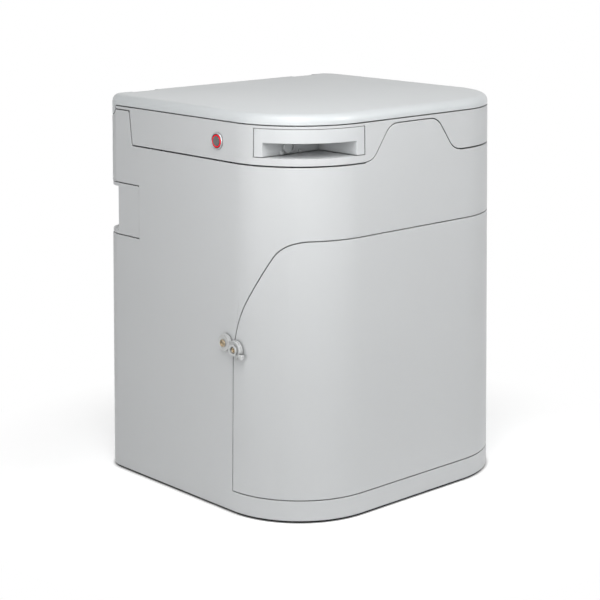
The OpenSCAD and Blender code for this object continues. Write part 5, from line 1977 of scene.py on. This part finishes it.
@dataclass
class Fixings(SubAssembly):
    """Screw heads of the panel, the rails and the handle, in mm."""

    heads: ScrewHeads = field(default_factory=lambda: ScrewHeads(Finishes.STEEL))
    panel: tuple[Place, ...] = tuple((x, 118.5, 408.0) for x in (-150.0, -50.0, 50.0, 150.0))
    rails: tuple[Place, ...] = tuple((x, y, 368.0) for x in (-70.0, 70.0) for y in (12.0, 98.0))
    panel_head: Pair = (3.2, 1.6)
    rail_head: Pair = (2.6, 1.6)
    handle_head: Pair = (3.2, 1.5)
    handle_shank: float = 1.9
    forward: Triple = (math.pi / 2, 0.0, 0.0)
    downward: Triple = (math.pi, 0.0, 0.0)

    def build_handle_screw(self) -> bpy.types.Object:
        """Builds the handle's screw with its shank.

        Returns:
            The new piece.
        """
        low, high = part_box("handle_screw")
        middle = (low + high) / 2 / MM
        start, length = low.y / MM, (high.y - low.y) / MM
        seat = start + self.handle_head[1]
        head = self.heads.set_on("handle_screw_head", [(middle.x, seat, middle.z)], self.forward, *self.handle_head)
        bm = reopened(head)
        shank = [(0.0, 0.0), (0.0, self.handle_shank), (length - 2.0, self.handle_shank), (length - 1.5, 0.0)]
        add_lathe(bm, shank, (middle.x, seat - 0.1, middle.z), (0.0, 1.0, 0.0), steps=24)
        face_outwards(bm)
        return new_piece("handle_screw_turned", bm)

    def build(self) -> None:
        """Builds and dresses the screws."""
        panel = self.heads.set_on("partition_screw_heads", list(self.panel), self.forward, *self.panel_head)
        self.settle(panel, Slot.STEEL, Finishes.STEEL, "partition_screws")
        self.body = Body.HOUSING
        rails = self.heads.set_on("rail_screw_heads", list(self.rails), self.downward, *self.rail_head)
        self.settle(rails, Slot.STEEL, Finishes.STEEL, "rail_screws")
        self.body = Body.GATE
        self.settle(self.build_handle_screw(), Slot.STEEL, Finishes.STEEL, "handle_screw")


# ---------------------------------------------------------------- studio


@dataclass
class Lamp:
    """A soft rectangular lamp aimed at a point."""

    name: str
    place: Place
    size: Pair
    power: float
    aim: Place = (0.0, 0.0, 0.26)

    def build(self) -> None:
        """Adds the lamp."""
        light = bpy.data.lights.new(self.name, "AREA")
        light.shape = "RECTANGLE"
        light.size, light.size_y = self.size
        light.energy = self.power
        lamp = bpy.data.objects.new(self.name, light)
        bpy.context.scene.collection.objects.link(lamp)
        way = Vector(self.aim) - Vector(self.place)
        lamp.matrix_world = Matrix.Translation(self.place) @ way.to_track_quat("-Z", "Y").to_matrix().to_4x4()


@dataclass
class Studio:
    """Camera, pale floor, soft lamps and white surroundings."""

    azimuth: float = -42.397
    elevation: float = 13.5125
    roll: float = -0.107
    distance: float = 2.142
    aim_right: float = -0.01498
    aim_up: float = 0.2172
    lens: float = 100.05
    ambient: float = 0.01
    lift: float = 0.48
    fade: Pair = (0.26, 0.5)
    floor_tone: Pair = (0.93, 0.95)
    floor_half: float = 20.0
    # reach and strength of the painted contact shadow on the floor
    painted_shadow_reach: float = 0.008
    painted_shadow_depth: float = 0.95
    lamps: tuple[Lamp, ...] = (
        Lamp("overhead softbox", (-0.9, -0.5, 1.75), (0.8, 0.8), 8.6),
        Lamp("corner softbox", (-0.418, -0.458, 0.95), (0.4, 0.4), 1.65),
        Lamp("corner strip", (-0.418, -0.458, 0.52), (0.3, 0.3), 0.33),
        Lamp("corner fill", (-0.573, -0.402, 0.56), (0.3, 0.3), 0.72),
        Lamp("left fill", (-1.494, 0.131, 0.3), (0.8, 0.8), 4.3),
        Lamp("right softbox", (0.533, -1.465, 1.16), (0.8, 0.8), 14.0),
        Lamp("rear fill", (0.95, 1.15, 0.2), (0.9, 0.36), 12.0, (0.0, 0.0, 0.2)),
    )

    def build_camera(self) -> None:
        """Adds the camera at the photograph's viewing angle."""
        az, el = math.radians(self.azimuth), math.radians(self.elevation)
        back = Vector((math.sin(az) * math.cos(el), -math.cos(az) * math.cos(el), math.sin(el)))
        right = Vector((math.cos(az), math.sin(az), 0.0))
        up = back.cross(right)
        a = math.radians(self.roll)
        across, above = right * math.cos(a) + up * math.sin(a), up * math.cos(a) - right * math.sin(a)
        place = right * self.aim_right + Vector((0.0, 0.0, self.aim_up)) + back * self.distance
        data = bpy.data.cameras.new("camera")
        data.lens, data.sensor_width = self.lens, 36.0
        data.clip_end = 100.0
        camera = bpy.data.objects.new("camera", data)
        bpy.context.scene.collection.objects.link(camera)
        camera.matrix_world = Matrix(
            [[across[k], above[k], back[k], place[k]] for k in range(3)] + [[0.0, 0.0, 0.0, 1.0]]
        )
        bpy.context.scene.camera = camera

    def seen_rays(self, tree: Tree) -> bpy.types.NodeSocket:
        """Gives the mask of rays that see the surroundings themselves or in a reflection.

        Args:
            tree: the tree to add it to.

        Returns:
            The mask.
        """
        path = tree.add("ShaderNodeLightPath")
        glossy = tree.calc("MAXIMUM", path.outputs["Is Camera Ray"], path.outputs["Is Glossy Ray"])
        return tree.calc("MAXIMUM", glossy, path.outputs["Is Transmission Ray"])

    def build_world(self) -> None:
        """Sets white surroundings and an even ambient light."""
        world = bpy.data.worlds.new("white studio")
        tree = Tree.of(world)
        ambient = tree.first("ShaderNodeBackground", {"Color": WHITE, "Strength": self.ambient})
        white = tree.first("ShaderNodeBackground", {"Color": WHITE, "Strength": 1.0})
        mixed = tree.first("ShaderNodeMixShader", {0: self.seen_rays(tree), 1: ambient, 2: white})
        tree.add("ShaderNodeOutputWorld", {"Surface": mixed})
        bpy.context.scene.world = world

    def floor_material(self) -> bpy.types.Material:
        """Makes the pale floor's material, which keeps the object's shadow, adds a painted contact shadow close under
        it and fades to white away from it.

        Returns:
            The material.
        """
        material = bpy.data.materials.new("pale floor")
        tree = Tree.of(material)
        vector = tree.add("ShaderNodeTexCoord").outputs["Object"]
        far = tree.add("ShaderNodeVectorMath", {0: vector}, operation="LENGTH").outputs["Value"]
        near_edge, far_edge = self.fade
        fade = tree.first(
            "ShaderNodeMapRange", {0: far, 1: near_edge, 2: far_edge, 3: 0.0, 4: 1.0}, interpolation_type="SMOOTHSTEP"
        )
        noise = tree.first("ShaderNodeTexNoise", {"Vector": vector, "Scale": 30.0})
        dark, light = self.floor_tone
        tone = tree.first("ShaderNodeMapRange", {0: noise, 1: 0.0, 2: 1.0, 3: dark, 4: light})
        # painted contact shadow: ambient occlusion darkens the floor's tone and its white lift close under the object
        contact = tree.place(Effects.seam_shade(), {"Reach": self.painted_shadow_reach, "Amount": self.painted_shadow_depth})
        shade = contact.outputs["Shade"]
        tone = tree.calc("MULTIPLY", tone, shade)
        colour = tree.first("ShaderNodeCombineColor", {0: tone, 1: tone, 2: tone})
        matt = tree.first("ShaderNodeBsdfDiffuse", {"Color": colour})
        white = tree.first("ShaderNodeEmission", {"Color": WHITE, "Strength": 1.0})
        seen = self.seen_rays(tree)
        glow = tree.calc("MULTIPLY", tree.calc("MULTIPLY", seen, shade), self.lift)
        lift = tree.first("ShaderNodeEmission", {"Color": WHITE, "Strength": glow})
        near = tree.first("ShaderNodeAddShader", {0: matt, 1: lift})
        share = tree.calc("MULTIPLY", seen, fade)
        mixed = tree.first("ShaderNodeMixShader", {0: share, 1: near, 2: white})
        tree.add("ShaderNodeOutputMaterial", {"Surface": mixed})
        return material

    def build_floor(self) -> None:
        """Adds the wide floor."""
        bm = bmesh.new()
        bmesh.ops.create_grid(bm, x_segments=2, y_segments=2, size=self.floor_half)
        floor = new_piece("floor", bm)
        floor.data.materials.append(self.floor_material())

    def build(self) -> None:
        """Builds the studio."""
        bpy.context.scene.view_settings.view_transform = "Standard"
        self.build_camera()
        self.build_world()
        self.build_floor()
        for lamp in self.lamps:
            lamp.build()
        LOG.info("studio set")


def main() -> None:
    """Builds the studio and every sub-assembly."""
    logging.basicConfig(level=logging.INFO, format="%(name)s: %(message)s")
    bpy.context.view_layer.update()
    Studio().build()
    for assembly in (
        BaseCabinet(), FrontDoor(), Latch(), UpperHousing(), PushButton(), SeatAndBowl(), PullHandle(), Lid(),
        SolidsBin(), UrineBottle(), Vent(), Drive(), Fixings(),
    ):
        assembly.build()
        LOG.info("%s built", type(assembly).__name__)


if __name__ == "__main__":
    main()
